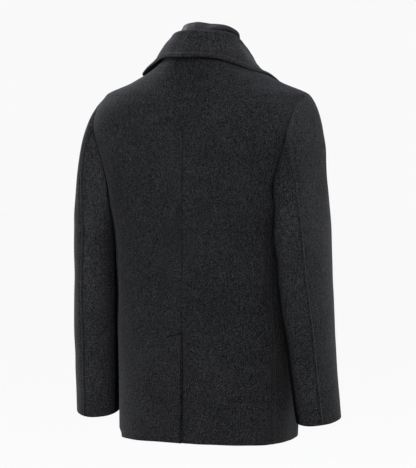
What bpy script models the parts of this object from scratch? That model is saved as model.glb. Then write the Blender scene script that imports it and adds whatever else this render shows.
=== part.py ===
# A man's wool pea coat, filled out as when it is worn, hollow and open at neck, cuffs and hem.
# Metres, +Z up, the wearer looks along -Y, so the wearer's left is +X.
# The origin is the middle of the wearer's neck base, at the height where shoulder seams meet collar.
# A place on the body is a turn (degrees round the body: 0 centre back, 90 the wearer's left side,
# 180 centre front, negative on the wearer's right) and a height.

from collections import namedtuple

import bmesh
import bpy
import numpy as np
from mathutils import Vector

# Cloth and seams
CLOTH = 0.0024  # melton and its lining
DOUBLE_CLOTH = 0.0030  # collar and lapels, two layers and a canvas
SEAM_GAP = 0.0003
LAP_GAP = 0.0005  # between cloths that lie on each other
FRONT_GAP = 0.0014  # between the two fronts
COLLAR_GAP, LEAF_GAP = 0.0012, 0.0016  # under the lapels, and under the collar's leaf

# Main sizes
HEM_BACK = -0.775
HEM_FRONT = -0.757
SHOULDER_TIP = -0.090
NECK_BACK = 0.003
NECK_SIDE = 0.0
GORGE_TURN, GORGE_HEIGHT = 125.0, -0.025
WRAP = 0.090  # the front edge lies this far past the centre front
BREAK_HEIGHT = -0.375  # the lapels turn back from here
CROSSING = -0.184  # the fronts cross each other here
VENT_TOP, VENT_LAP = -0.557, 0.036

# Rows of the panels: hem to underarm, up the armhole, along the shoulder seam
ROWS_SKIRT = 12
ROWS_SHOULDER = 5
ARMHOLE_STEPS = 20
ARMHOLE_STEP = 360.0 / ARMHOLE_STEPS
SIDE_SEAM_STEP = 8  # the side seam meets the armhole here
UNDERARM_STEP = 10
HIND_SEAM_STEP = 4
FORE_SEAM_STEP = 13
COLUMNS_BACK = 8
COLUMNS_FRONT = 14

# Armhole, seen from the side
ARMHOLE_MIDDLE_Y, ARMHOLE_HALF_DEPTH = 0.020, 0.070
ARMHOLE_BOTTOM = -0.320
ARMHOLE_POWER = 2.5

Section = namedtuple("Section", "height half_width back front middle width_power depth_power")
BODY = [
    Section(-0.800, 0.1790, 0.1140, -0.1180, 0.000, 3.0, 3.0),
    Section(-0.775, 0.1800, 0.1138, -0.1180, 0.000, 3.0, 3.0),
    Section(-0.680, 0.1850, 0.1128, -0.1185, 0.000, 3.0, 3.0),
    Section(-0.560, 0.1880, 0.1112, -0.1180, 0.000, 3.0, 3.0),
    Section(-0.460, 0.1880, 0.1095, -0.1165, 0.000, 3.0, 3.0),
    Section(-0.400, 0.1885, 0.1092, -0.1185, 0.000, 3.0, 3.0),
    Section(-0.360, 0.1905, 0.1091, -0.1200, 0.000, 3.1, 3.1),
    Section(-0.324, 0.1955, 0.1089, -0.1208, 0.000, 3.3, 3.3),
    Section(-0.286, 0.2015, 0.1085, -0.1205, 0.000, 3.6, 3.6),
    Section(-0.240, 0.2105, 0.1076, -0.1185, 0.000, 4.1, 4.1),
    Section(-0.198, 0.2210, 0.1062, -0.1140, 0.000, 4.6, 4.6),
    Section(-0.154, 0.2330, 0.1045, -0.1050, -0.001, 4.8, 4.8),
    Section(-0.125, 0.2315, 0.1035, -0.0925, -0.001, 4.0, 3.8),
    Section(-0.105, 0.2285, 0.1026, -0.0840, 0.001, 3.0, 2.8),
    Section(-0.090, 0.2250, 0.1020, -0.0770, 0.002, 2.4, 2.0),
    Section(-0.064, 0.1670, 0.1008, -0.0670, 0.004, 2.1, 1.6),
    Section(-0.041, 0.1205, 0.0995, -0.0610, 0.008, 2.1, 1.6),
    Section(-0.029, 0.1020, 0.0985, -0.0585, 0.010, 2.2, 1.6),
    Section(-0.013, 0.0810, 0.0960, -0.0545, 0.012, 2.2, 1.6),
    Section(0.000, 0.0700, 0.0940, -0.0520, 0.013, 2.2, 1.8),
    Section(0.012, 0.0640, 0.0930, -0.0500, 0.013, 2.2, 2.0),
]

SideSeam = namedtuple("SideSeam", "height turn")
SIDE_SEAM = [
    SideSeam(-0.775, 62.0),
    SideSeam(-0.570, 57.0),
    SideSeam(-0.450, 53.5),
    SideSeam(-0.360, 53.5),
    SideSeam(-0.300, 57.0),
]

# Sleeve rings below the cap; deep is front to back, tip is how far the back edge hangs below the middle
Ring = namedtuple("Ring", "height out middle half_width half_depth tip")
SLEEVE = [
    Ring(-0.380, 0.2295, 0.0310, 0.0385, 0.0840, 0.000),
    Ring(-0.440, 0.2325, 0.0295, 0.0405, 0.0820, 0.001),
    Ring(-0.500, 0.2355, 0.0265, 0.0425, 0.0780, 0.003),
    Ring(-0.560, 0.2385, 0.0225, 0.0430, 0.0700, 0.006),
    Ring(-0.620, 0.2420, 0.0175, 0.0430, 0.0620, 0.009),
    Ring(-0.680, 0.2465, 0.0110, 0.0425, 0.0545, 0.011),
    Ring(-0.727, 0.2500, 0.0050, 0.0420, 0.0505, 0.012),
]
ROWS_CAP, ROWS_TUBE = 9, 12
CAP_AWAY_TOP, CAP_AWAY_FOOT = 0.52, 0.10  # how steeply the sleeve head leaves the armhole
CAP_SPREAD_BACK, CAP_SPREAD_FRONT = 0.70, -0.90
CAP_PULL_START, CAP_PULL_END = 0.78, 0.80
RIGHT_ARM_RAISED = 0.006
ARMHOLE_GAP = 0.0005

# Where the sleeve's back seam runs: turn round the arm, 0 outside and 90 at the back
HindSeam = namedtuple("HindSeam", "height left right")
HIND_SEAM = [
    HindSeam(-0.380, 93.0, 44.0),
    HindSeam(-0.500, 88.0, 42.0),
    HindSeam(-0.620, 82.0, 49.0),
    HindSeam(-0.727, 77.0, 55.0),
]
FORE_SEAM_TURN = -126.0

# Soft folds of the body: a ridge (+) or trough (-) along a straight line on the body
Fold = namedtuple("Fold", "turn_top top turn_foot foot width rise")
BODY_FOLDS = [
    Fold(38.0, -0.080, 42.0, -0.290, 0.030, 0.0022),
    Fold(-8.0, -0.430, -40.0, -0.590, 0.022, -0.0028),
    Fold(-22.0, -0.440, -52.0, -0.610, 0.022, 0.0026),
    Fold(24.0, -0.560, 30.0, -0.790, 0.034, 0.0030),
    Fold(-30.0, -0.620, -34.0, -0.800, 0.034, 0.0026),
    Fold(75.0, -0.420, 84.0, -0.790, 0.040, 0.0030),
    Fold(-75.0, -0.420, -84.0, -0.790, 0.040, 0.0030),
]

# Creases of the sleeves: turn round the arm, height of the middle, how steeply it climbs with the turn
Crease = namedtuple("Crease", "turn height climb spread width rise")
SLEEVE_CREASES = [
    Crease(100.0, -0.330, 0.020, 45.0, 0.016, -0.0030),
    Crease(120.0, -0.372, 0.012, 50.0, 0.014, 0.0024),
    Crease(95.0, -0.455, -0.016, 48.0, 0.016, -0.0026),
    Crease(90.0, -0.492, -0.008, 52.0, 0.016, 0.0022),
    Crease(230.0, -0.520, 0.014, 55.0, 0.016, -0.0030),
    Crease(60.0, -0.600, 0.018, 50.0, 0.020, -0.0022),
]

# Collar, left half, from centre back to the gorge: neck seam, roll line and outer edge
Collar = namedtuple("Collar", "seam_turn roll_x roll_y roll_z mid_x mid_y mid_z edge_x edge_y edge_z")
COLLAR = [
    Collar(0.0, 0.0000, 0.0855, 0.0415, 0.0000, 0.0985, 0.0130, 0.0000, 0.1120, -0.0110),
    Collar(22.0, 0.0255, 0.0805, 0.0410, 0.0280, 0.0930, 0.0130, 0.0290, 0.1040, -0.0108),
    Collar(42.0, 0.0445, 0.0680, 0.0395, 0.0515, 0.0770, 0.0115, 0.0545, 0.0850, -0.0140),
    Collar(60.0, 0.0560, 0.0520, 0.0370, 0.0675, 0.0580, 0.0085, 0.0750, 0.0670, -0.0200),
    Collar(75.0, 0.0620, 0.0350, 0.0330, 0.0785, 0.0370, 0.0030, 0.0980, 0.0470, -0.0290),
    Collar(90.0, 0.0660, 0.0150, 0.0260, 0.0865, 0.0150, -0.0080, 0.1240, 0.0260, -0.0410),
    Collar(102.0, 0.0685, -0.0050, 0.0125, 0.0885, -0.0080, -0.0160, 0.1400, 0.0030, -0.0500),
    Collar(112.0, 0.0735, -0.0200, -0.0025, 0.0950, -0.0270, -0.0280, 0.1470, -0.0240, -0.0640),
]
COLLAR_LINES = ("roll", "mid", "edge")
ROLL_RADIUS = 0.0062
COLLAR_SHIFT, COLLAR_LEAN = -0.007, -0.080  # the collar stands a little over to the right, and higher there
NOTCH_X, NOTCH_HEIGHT = 0.113, -0.082
COLLAR_TIP_X, COLLAR_TIP_HEIGHT = 0.151, -0.101
LAPEL_TIP_X, LAPEL_TIP_HEIGHT = 0.150, -0.127
COLLAR_STATIONS = 14  # from centre back to where the stand begins to open out
OPENING_STATIONS = 3  # from there to the gorge, where it lies flat
GORGE_STATIONS = 4
STAND_STEPS, ROLL_STEPS, LEAF_STEPS = 3, 4, 6
STAND_SEAM = 4  # the step at which the collar is sewn to its stand, just inside the roll
STAND_END_TURN = 120.0
LAPEL_ROWS, LAPEL_COLUMNS = 16, 7

# Band of smooth leather that stands inside the collar
BAND = 0.0018
BAND_RISE = 0.0135
BAND_LEAN = 0.008
BAND_STATIONS = 14  # of the collar's, from centre back

# Buttons and pocket welts
BUTTON_RADIUS, BUTTON_THICK, BUTTON_RIM = 0.0145, 0.0042, 0.0030
BUTTON_STANDOFF = 0.0004
HOLE_RADIUS, HOLE_PITCH = 0.0012, 0.0024
BUTTON_X = 0.064
BUTTON_HEIGHTS = (-0.392, -0.502, -0.612)
WELT_TURN_TOP, WELT_TURN_FOOT = 132.0, 124.0
WELT_TOP, WELT_FOOT, WELT_TURNS = -0.470, -0.632, 12.0

CHARCOAL = (0.022, 0.023, 0.026, 1.0)
LEATHER = (0.045, 0.043, 0.052, 1.0)
HORN = (0.012, 0.012, 0.014, 1.0)


def table(rows, column, at):
    """One column of a table read at `at`, by a monotone cubic through its rows."""
    keys = np.array([row[0] for row in rows])
    values = np.array([getattr(row, column) for row in rows])
    if keys[0] > keys[-1]:
        keys, values = keys[::-1], values[::-1]
    gaps = np.diff(keys)
    slopes = np.diff(values) / gaps
    tangents = np.zeros(len(keys))
    tangents[0], tangents[-1] = slopes[0], slopes[-1]
    for i in range(1, len(keys) - 1):
        if slopes[i - 1] * slopes[i] > 0:
            first, second = 2 * gaps[i] + gaps[i - 1], gaps[i] + 2 * gaps[i - 1]
            tangents[i] = (first + second) / (first / slopes[i - 1] + second / slopes[i])
    at = np.clip(np.asarray(at, float), keys[0], keys[-1])
    i = np.clip(np.searchsorted(keys, at) - 1, 0, len(gaps) - 1)
    t = (at - keys[i]) / gaps[i]
    return (
        (1 + 2 * t) * (1 - t) ** 2 * values[i]
        + t * (1 - t) ** 2 * gaps[i] * tangents[i]
        + t * t * (3 - 2 * t) * values[i + 1]
        + t * t * (t - 1) * gaps[i] * tangents[i + 1]
    )


def lerp(a, b, t):
    return a + (b - a) * t


def smooth(t):
    t = np.clip(t, 0.0, 1.0)
    return t * t * (3 - 2 * t)


def unit(vectors):
    return vectors / np.linalg.norm(vectors, axis=-1, keepdims=True)


# The body's form


def body_form(turn, height):
    """The plain body: at each height a closed curve with its own width, depth and squareness."""
    turn, height = np.broadcast_arrays(np.asarray(turn, float), np.asarray(height, float))
    angle = np.radians(turn)
    across, along = np.sin(angle), np.cos(angle)
    half_width = table(BODY, "half_width", height)
    middle = table(BODY, "middle", height)
    depth = np.where(along >= 0, table(BODY, "back", height) - middle, middle - table(BODY, "front", height))
    p, q = table(BODY, "width_power", height), table(BODY, "depth_power", height)
    reach = np.ones_like(angle)
    for _ in range(14):
        a, b = (reach * np.abs(across)) ** p, (reach * np.abs(along)) ** q
        reach = reach - (a + b - 1) * reach / (p * a + q * b)
    return np.stack([half_width * reach * across, middle + depth * reach * along, height], -1)


def body_normal(turn, height):
    step_turn, step_height = 0.4, 0.0015
    round_it = body_form(turn + step_turn, height) - body_form(turn - step_turn, height)
    up = body_form(turn, height + step_height) - body_form(turn, height - step_height)
    return unit(np.cross(up, round_it))


def fold_rise(turn, height):
    """Sum of the soft folds at a place on the body."""
    rise = np.zeros(np.broadcast(turn, height).shape)
    for fold in BODY_FOLDS:
        t = (fold.top - height) / (fold.top - fold.foot)
        centre = lerp(fold.turn_top, fold.turn_foot, t)
        away = (turn - centre) * 0.0027  # metres of cloth to a degree
        ends = smooth((t + 0.05) / 0.35) * smooth((1.25 - t) / 0.45)
        rise = rise + fold.rise * ends * np.exp(-((away / fold.width) ** 2))
    return rise


def on_body(turn, height, lift=0.0):
    """A place on the coat's outer face, or `lift` above it."""
    rise = fold_rise(turn, height) + lift
    return body_form(turn, height) + body_normal(turn, height) * np.asarray(rise)[..., None]


def front_turn(x, height):
    """The turn at which the front of the body has this x; x may lie past the centre."""
    low, high = np.full(np.shape(x), 90.0), np.full(np.shape(x), 270.0)
    for _ in range(40):
        mid = (low + high) / 2
        right_of = body_form(mid, height)[..., 0] > x
        low, high = np.where(right_of, mid, low), np.where(right_of, high, mid)
    return (low + high) / 2


def armhole(turn):
    """Height and body turn of the armhole at a turn round the arm: 0 shoulder tip, 90 back, 180 underarm."""
    angle = np.radians(np.asarray(turn, float))
    middle = (SHOULDER_TIP + ARMHOLE_BOTTOM) / 2
    half = (SHOULDER_TIP - ARMHOLE_BOTTOM) / 2
    power = 2 / ARMHOLE_POWER
    height = middle + half * np.sign(np.cos(angle)) * np.abs(np.cos(angle)) ** power
    y = ARMHOLE_MIDDLE_Y + ARMHOLE_HALF_DEPTH * np.sign(np.sin(angle)) * np.abs(np.sin(angle)) ** power
    at_tip = smooth((height - SHOULDER_TIP + 0.03) / 0.03) + smooth((ARMHOLE_BOTTOM + 0.02 - height) / 0.02)
    y = y - ARMHOLE_MIDDLE_Y * at_tip
    low, high = np.full(np.shape(y), 0.0), np.full(np.shape(y), 180.0)
    for _ in range(40):
        mid = (low + high) / 2
        behind = body_form(mid, height)[..., 1] > y
        low, high = np.where(behind, mid, low), np.where(behind, high, mid)
    return height, (low + high) / 2


def hem_height(turn):
    return lerp(HEM_BACK, HEM_FRONT, (1 - np.cos(np.radians(turn))) / 2)


def roll_x(height):
    """The lapel's roll line seen from the front, from the front edge up to the gorge."""
    gorge_x = body_form(GORGE_TURN, GORGE_HEIGHT)[0]
    return lerp(-WRAP, gorge_x, (height - BREAK_HEIGHT) / (GORGE_HEIGHT - BREAK_HEIGHT))


# Cloth


def cloth_wall(name, outside, inside, material):
    """One piece of cloth: two grids of points, face and back, closed round the border."""
    rows, columns = outside.shape[:2]
    mesh = bmesh.new()
    face = [[mesh.verts.new(point) for point in row] for row in outside]
    back = [[mesh.verts.new(point) for point in row] for row in inside]
    for r in range(rows - 1):
        for c in range(columns - 1):
            for layer in (face, back):
                mesh.faces.new((layer[r][c], layer[r][c + 1], layer[r + 1][c + 1], layer[r + 1][c]))
    border = [(0, c) for c in range(columns - 1)] + [(r, columns - 1) for r in range(rows - 1)]
    border += [(rows - 1, c) for c in range(columns - 1, 0, -1)] + [(r, 0) for r in range(rows - 1, 0, -1)]
    for ends in zip(border, border[1:] + border[:1]):
        (r, c), (s, d) = sorted(ends)
        mesh.faces.new((face[r][c], face[s][d], back[s][d]))
        mesh.faces.new((face[r][c], back[s][d], back[r][c]))
    bmesh.ops.recalc_face_normals(mesh, faces=mesh.faces)
    return finish_object(name, mesh, material)


def finish_object(name, mesh, material):
    data = bpy.data.meshes.new(name)
    mesh.to_mesh(data)
    mesh.free()
    data.materials.append(material)
    data.shade_smooth()
    data.set_sharp_from_angle(angle=np.radians(50.0))
    made = bpy.data.objects.new(name, data)
    bpy.data.collections["pea_coat"].objects.link(made)
    return made


def panel_grid(outer_turn, outer_height, inner_turn, inner_height, columns, base=None):
    """Turns and heights of a panel's grid, a row from its outer to its inner end.

    A row's outer end may lie off its base height; it comes back to it within a quarter of the row."""
    across = np.linspace(0.0, 1.0, columns + 1)[None, :]
    base = outer_height if base is None else base
    turn = lerp(outer_turn[:, None], inner_turn[:, None], across)
    height = lerp(base[:, None], inner_height[:, None], across)
    bend = np.clip(1 - across / 0.25, 0.0, 1.0) ** 2
    return turn, height + (outer_height - base)[:, None] * bend


def shifted_turn(turn, height, distance):
    """The turn moved along the cloth by a distance."""
    length = np.linalg.norm(body_form(turn + 0.5, height) - body_form(turn - 0.5, height), axis=-1)
    return turn + distance / length


def side_seam_rows():
    """Heights and turns of the side seam, hem to armhole."""
    top_height, top_turn = armhole(SIDE_SEAM_STEP * ARMHOLE_STEP)
    share = np.linspace(0.0, 1.0, ROWS_SKIRT + 1)
    foot = hem_height(SIDE_SEAM[0].turn)
    heights = lerp(foot, top_height, share)
    turns = table(SIDE_SEAM, "turn", heights)
    turns = turns + (top_turn - turns[-1]) * smooth((share - 0.6) / 0.4)
    return heights, turns


def shoulder_rows():
    heights = np.linspace(SHOULDER_TIP, NECK_SIDE, ROWS_SHOULDER + 1)[1:]
    return heights, np.full(ROWS_SHOULDER, 90.0)


def back_panel(side, name, material):
    """Back, from the centre back seam to the side seam. side is +1 on the wearer's left."""
    seam_heights, seam_turns = side_seam_rows()
    arm_heights, arm_turns = armhole(np.arange(SIDE_SEAM_STEP - 1, -1, -1) * ARMHOLE_STEP)
    top_heights, top_turns = shoulder_rows()
    outer_height = np.concatenate([seam_heights, arm_heights, top_heights])
    outer_turn = np.concatenate([seam_turns, arm_turns, top_turns])
    centre_height = np.concatenate([
        np.linspace(HEM_BACK, -0.315, ROWS_SKIRT + 1),
        np.linspace(-0.315, -0.100, SIDE_SEAM_STEP + 1)[1:],
        np.linspace(-0.100, NECK_BACK, ROWS_SHOULDER + 1)[1:],
    ])
    outer_height, outer_turn, centre_height, vent_row = vent_rows(outer_height, outer_turn, centre_height)
    laps_under = side < 0
    outer_turn = shifted_turn(outer_turn, outer_height, -SEAM_GAP / 2)
    centre_turn = np.zeros(len(outer_turn))
    turn, height = panel_grid(outer_turn, outer_height, centre_turn, centre_height, COLUMNS_BACK)
    inner = np.full(len(centre_height), SEAM_GAP / 2)
    turn = turn + shifted_turn(0.0, height, inner[:, None]) * (1 - turn / outer_turn[:, None])
    lift = np.zeros_like(turn)
    if laps_under:
        turn, height, lift = vent_underlap(turn, height, lift, vent_row)
    outside = on_body(side * turn, height, lift)
    inside = on_body(side * turn, height, lift - CLOTH)
    return cloth_wall(name, outside, inside, material)


def vent_rows(outer_height, outer_turn, centre_height):
    """Three rows set close together at the vent's top, where the cloth goes under."""
    row = int(np.argmin(np.abs(centre_height - VENT_TOP)))
    share = np.interp(VENT_TOP, centre_height, np.arange(len(centre_height)))
    at = np.arange(len(centre_height), dtype=float)
    at = np.concatenate([at[:row], [share - 0.30, share, share + 0.12], at[row + 1:]])
    whole = np.arange(len(centre_height))
    return (
        np.interp(at, whole, outer_height),
        np.interp(at, whole, outer_turn),
        np.interp(at, whole, centre_height),
        row,
    )


def vent_underlap(turn, height, lift, vent_row):
    """Below the vent's top the panel sinks and runs on past the centre, behind its neighbour."""
    edge, inner = turn[:, -1:], turn[:, -2:-1]
    past = shifted_turn(0.0, height[:, -1:], -VENT_LAP)
    row = np.arange(len(turn))[:, None]
    crosses, sinks = row <= vent_row, row <= vent_row + 1
    turns = [
        turn[:, :-1],
        lerp(edge, inner, 0.20),
        lerp(edge, inner, 0.08),
        np.where(crosses, lerp(edge, past, 0.5), lerp(edge, inner, 0.04)),
        np.where(crosses, past, edge),
    ]
    sunk = np.where(sinks, -(CLOTH + LAP_GAP), 0.0)
    lifts = [lift[:, :-1], 0.0 * sunk, sunk, sunk, sunk]
    heights = [height[:, :-1]] + [height[:, -1:]] * 4
    return np.concatenate(turns, 1), np.concatenate(heights, 1), np.concatenate(lifts, 1)


def overlap_lift(turn, height):
    """The upper front rises over the lower one, and over its lapel above the break."""
    lapel_under = (DOUBLE_CLOTH + FRONT_GAP) * smooth((height - BREAK_HEIGHT + 0.045) / 0.035)
    below = smooth((CROSSING + 0.060 - height) / 0.050)
    return (CLOTH + FRONT_GAP + lapel_under) * smooth((turn - 124.0) / 18.0) * below


def front_rows():
    """Outer and inner ends of a front panel's rows, and the base height of each row."""
    seam_heights, seam_turns = side_seam_rows()
    steps = np.arange(SIDE_SEAM_STEP + 1, ARMHOLE_STEPS + 1)
    arm_heights, arm_turns = armhole(steps * ARMHOLE_STEP)
    top_heights, top_turns = shoulder_rows()
    outer_height = np.concatenate([seam_heights, arm_heights, top_heights])
    outer_turn = np.concatenate([seam_turns, arm_turns, top_turns])
    past_underarm = UNDERARM_STEP - SIDE_SEAM_STEP
    base = outer_height.copy()
    ease = np.linspace(0.0, 1.0, ROWS_SKIRT + past_underarm + 1)
    base[: ROWS_SKIRT + past_underarm + 1] = lerp(base[0], ARMHOLE_BOTTOM - 0.006, ease)
    count = len(steps)
    inner_height = np.concatenate([
        np.linspace(HEM_FRONT, BREAK_HEIGHT, ROWS_SKIRT + 1),
        np.linspace(BREAK_HEIGHT, -0.085, count + 1)[1:],
        np.linspace(-0.085, GORGE_HEIGHT, ROWS_SHOULDER + 1)[1:],
    ])
    edge = np.where(inner_height <= BREAK_HEIGHT, -WRAP, roll_x(inner_height))
    inner_turn = front_turn(edge, inner_height)
    return outer_turn, outer_height, inner_turn, inner_height, base


def front_panel(side, name, material):
    """Front, from the side seam round to the front edge and the lapel's roll line."""
    outer_turn, outer_height, inner_turn, inner_height, base = front_rows()
    outer_turn = shifted_turn(outer_turn, outer_height, SEAM_GAP / 2)
    turn, height = panel_grid(outer_turn, outer_height, inner_turn, inner_height, COLUMNS_FRONT, base)
    lift = overlap_lift(turn, height) if side > 0 else np.zeros_like(turn)
    outside = on_body(side * turn, height, lift)
    inside = on_body(side * turn, height, lift - CLOTH)
    return cloth_wall(name, outside, inside, material)


# Sleeves


def sleeve_ring(turn, height):
    """The hanging part of the left sleeve at a turn round the arm: 0 outside, 90 back."""
    angle = np.radians(turn)
    out, middle = table(SLEEVE, "out", height), table(SLEEVE, "middle", height)
    x = out + table(SLEEVE, "half_width", height) * np.cos(angle)
    y = middle + table(SLEEVE, "half_depth", height) * np.sin(angle)
    z = height - table(SLEEVE, "tip", height) * np.sin(angle)
    return np.stack(np.broadcast_arrays(x, y, z), -1)


def crease_rise(side, turn, height):
    """Creases on the sleeves; the right arm's are moved a little, so that the two differ."""
    rise = np.zeros(np.broadcast(turn, height).shape)
    for crease in SLEEVE_CREASES:
        moved = 0.012 * (side < 0)
        away_turn = (turn - crease.turn + 180.0) % 360.0 - 180.0
        line = crease.height - moved + crease.climb * away_turn / crease.spread
        reach = np.exp(-((away_turn / crease.spread) ** 2))
        rise = rise + crease.rise * reach * np.exp(-(((height - line) / crease.width) ** 2))
    return rise


def sleeve_form(side):
    """Face and normals of the whole left-hand sleeve, a closed ring to a row, from armhole to cuff."""
    steps = np.arange(FORE_SEAM_STEP - ARMHOLE_STEPS, FORE_SEAM_STEP + 1)
    arm_turn = steps * ARMHOLE_STEP
    arm_height, arm_body_turn = armhole(arm_turn)
    start = body_form(arm_body_turn, arm_height) + np.array([ARMHOLE_GAP, 0.0, 0.0])
    top = SLEEVE[0].height
    heights = np.linspace(top, SLEEVE[-1].height, ROWS_TUBE + 1)
    hind = table(HIND_SEAM, "left" if side > 0 else "right", heights)[:, None]
    front = (steps - steps[0]) / (HIND_SEAM_STEP - steps[0])
    behind = (steps - HIND_SEAM_STEP) / (steps[-1] - HIND_SEAM_STEP)
    before_hind = lerp(FORE_SEAM_TURN, hind, front[None, :])
    past_hind = lerp(hind, FORE_SEAM_TURN + 360.0, behind[None, :])
    tube_turn = np.where(steps[None, :] <= HIND_SEAM_STEP, before_hind, past_hind)
    tube = sleeve_ring(tube_turn, heights[:, None])
    if side < 0:
        tube[..., 2] += RIGHT_ARM_RAISED * smooth((top - heights) / (top - SLEEVE[-1].height))[:, None]
    angle = np.radians(arm_turn)
    away = CAP_AWAY_FOOT + (CAP_AWAY_TOP - CAP_AWAY_FOOT) * (1 + np.cos(angle)) / 2
    spread = np.where(np.sin(angle) > 0, CAP_SPREAD_BACK, CAP_SPREAD_FRONT)
    spread = spread * np.sin(angle) * np.cos(angle / 2) ** 2
    leave = unit(np.stack([away, spread, -0.55 - 0.45 * (1 - np.cos(angle)) / 2], -1))
    down = unit(tube[1] - tube[0])
    length = np.linalg.norm(tube[0] - start, axis=-1)[:, None]
    t = (np.linspace(0.0, 1.0, ROWS_CAP + 1)[:-1] ** 1.15)[:, None, None]
    cap = (
        (1 + 2 * t) * (1 - t) ** 2 * start
        + t * (1 - t) ** 2 * length * CAP_PULL_START * leave
        + t * t * (3 - 2 * t) * tube[0]
        + t * t * (t - 1) * length * CAP_PULL_END * down
    )
    points = np.concatenate([cap, tube])
    turns = np.concatenate([lerp(arm_turn, tube_turn[0], t[..., 0]), tube_turn])
    around = np.roll(points[:, :-1], -1, axis=1) - np.roll(points[:, :-1], 1, axis=1)
    around = np.concatenate([around, around[:, :1]], axis=1)
    normal = unit(np.cross(np.gradient(points, axis=0), around))
    arm_normal = body_normal(arm_body_turn, arm_height)
    normal[0] = unit(normal[0] + arm_normal)
    rise = crease_rise(side, turns, points[..., 2]) * smooth(np.arange(len(points)) / 5.0)[:, None]
    return points + normal * rise[..., None], normal, unit(around)


def sleeve(side, word, material):
    """The top and the under piece, cut from the sleeve's form at its two seams."""
    points, normal, around = sleeve_form(side)
    mirror = np.array([side, 1.0, 1.0])
    seam = HIND_SEAM_STEP - FORE_SEAM_STEP + ARMHOLE_STEPS
    for name, part in (("top_sleeve_", slice(0, seam + 1)), ("under_sleeve_", slice(seam, None))):
        face = points[:, part].copy()
        face[:, 0] += around[:, part][:, 0] * SEAM_GAP / 2
        face[:, -1] -= around[:, part][:, -1] * SEAM_GAP / 2
        inside = face - normal[:, part] * CLOTH
        cloth_wall(name + word, face * mirror, inside * mirror, material)


# Collar and lapels


def lifted(points, clearance):
    """Points moved out of the body until they clear it by `clearance`."""
    points = points.copy()
    for _ in range(6):
        height = np.clip(points[..., 2], BODY[0].height, 0.010)
        middle, half_width = table(BODY, "middle", height), table(BODY, "half_width", height)
        behind, before = table(BODY, "back", height) - middle, middle - table(BODY, "front", height)
        depth = np.where(points[..., 1] >= middle, behind, before)
        turn = np.degrees(np.arctan2(points[..., 0] / half_width, (points[..., 1] - middle) / depth))
        normal = body_normal(turn, height)
        gap = ((points - on_body(turn, height)) * normal).sum(-1)
        short = np.clip(clearance - gap, 0.0, None) * (points[..., 2] < 0.010)
        points = points + normal * short[..., None]
    return points


def neck_seam(turn):
    """Where the collar is sewn on: round the back neck, down the front neck to the gorge."""
    back = lerp(NECK_BACK, NECK_SIDE, np.clip(turn / 90.0, 0.0, 1.0))
    front = GORGE_HEIGHT * np.clip((turn - 90.0) / (GORGE_TURN - 90.0), 0.0, 1.0)
    return back + front


def front_point(x, height, lift):
    return on_body(front_turn(x, height), height, lift)


def gorge_line(share):
    """The seam between collar and lapel, from the neck to the notch, as x and height."""
    start = body_form(GORGE_TURN, GORGE_HEIGHT)
    return lerp(start[0], NOTCH_X, share), lerp(GORGE_HEIGHT, NOTCH_HEIGHT, share)


def collar_section(seam, roll, mid, edge):
    """Face and fold normals of the collar at one station: up the stand, over the roll, down the leaf."""
    stand = unit(roll - seam)
    out = unit((mid - roll) - stand * ((mid - roll) @ stand))
    centre = roll - stand * ROLL_RADIUS
    angles = np.radians(np.arange(60.0, 171.0))[:, None]
    onward = unit(mid - centre - ROLL_RADIUS * (stand * np.sin(angles) - out * np.cos(angles)))
    ends = angles[np.argmax((onward * (stand * np.cos(angles) + out * np.sin(angles))).sum(-1)), 0]
    radial = [stand * np.sin(angle) - out * np.cos(angle) for angle in np.linspace(0.0, ends, ROLL_STEPS + 1)]
    turned = [centre + ROLL_RADIUS * way for way in radial]
    points = [lerp(seam, turned[0], t) for t in np.linspace(0.0, 1.0, STAND_STEPS + 1)] + turned[1:]
    through = 2 * mid - (turned[-1] + edge) / 2
    for t in np.linspace(0.0, 1.0, LEAF_STEPS + 1)[1:]:
        points.append((1 - t) ** 2 * turned[-1] + 2 * t * (1 - t) * through + t * t * edge)
    return np.array(points), np.array([-out] * STAND_STEPS + radial)


def gorge_section(share):
    """Face and normals of the collar where it lies flat beside the lapel; share 0 neck, 1 notch."""
    across = np.concatenate([
        np.zeros(STAND_SEAM),
        np.linspace(0.0, 0.16, ROLL_STEPS + STAND_STEPS - STAND_SEAM + 1),
        np.linspace(0.16, 1.0, LEAF_STEPS + 1)[1:],
    ])
    x, height = gorge_line(share)
    x = lerp(x, lerp(COLLAR_TIP_X - 0.001, COLLAR_TIP_X, share), across)
    height = lerp(height, lerp(-0.080, COLLAR_TIP_HEIGHT, share), across) + SEAM_GAP
    puff = 0.005 * np.exp(-((share / 0.6) ** 2)) * np.exp(-(((across - 0.10) / 0.10) ** 2))
    face = front_point(x, height, DOUBLE_CLOTH + COLLAR_GAP + puff)
    return face, body_normal(front_turn(x, height), height)


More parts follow.
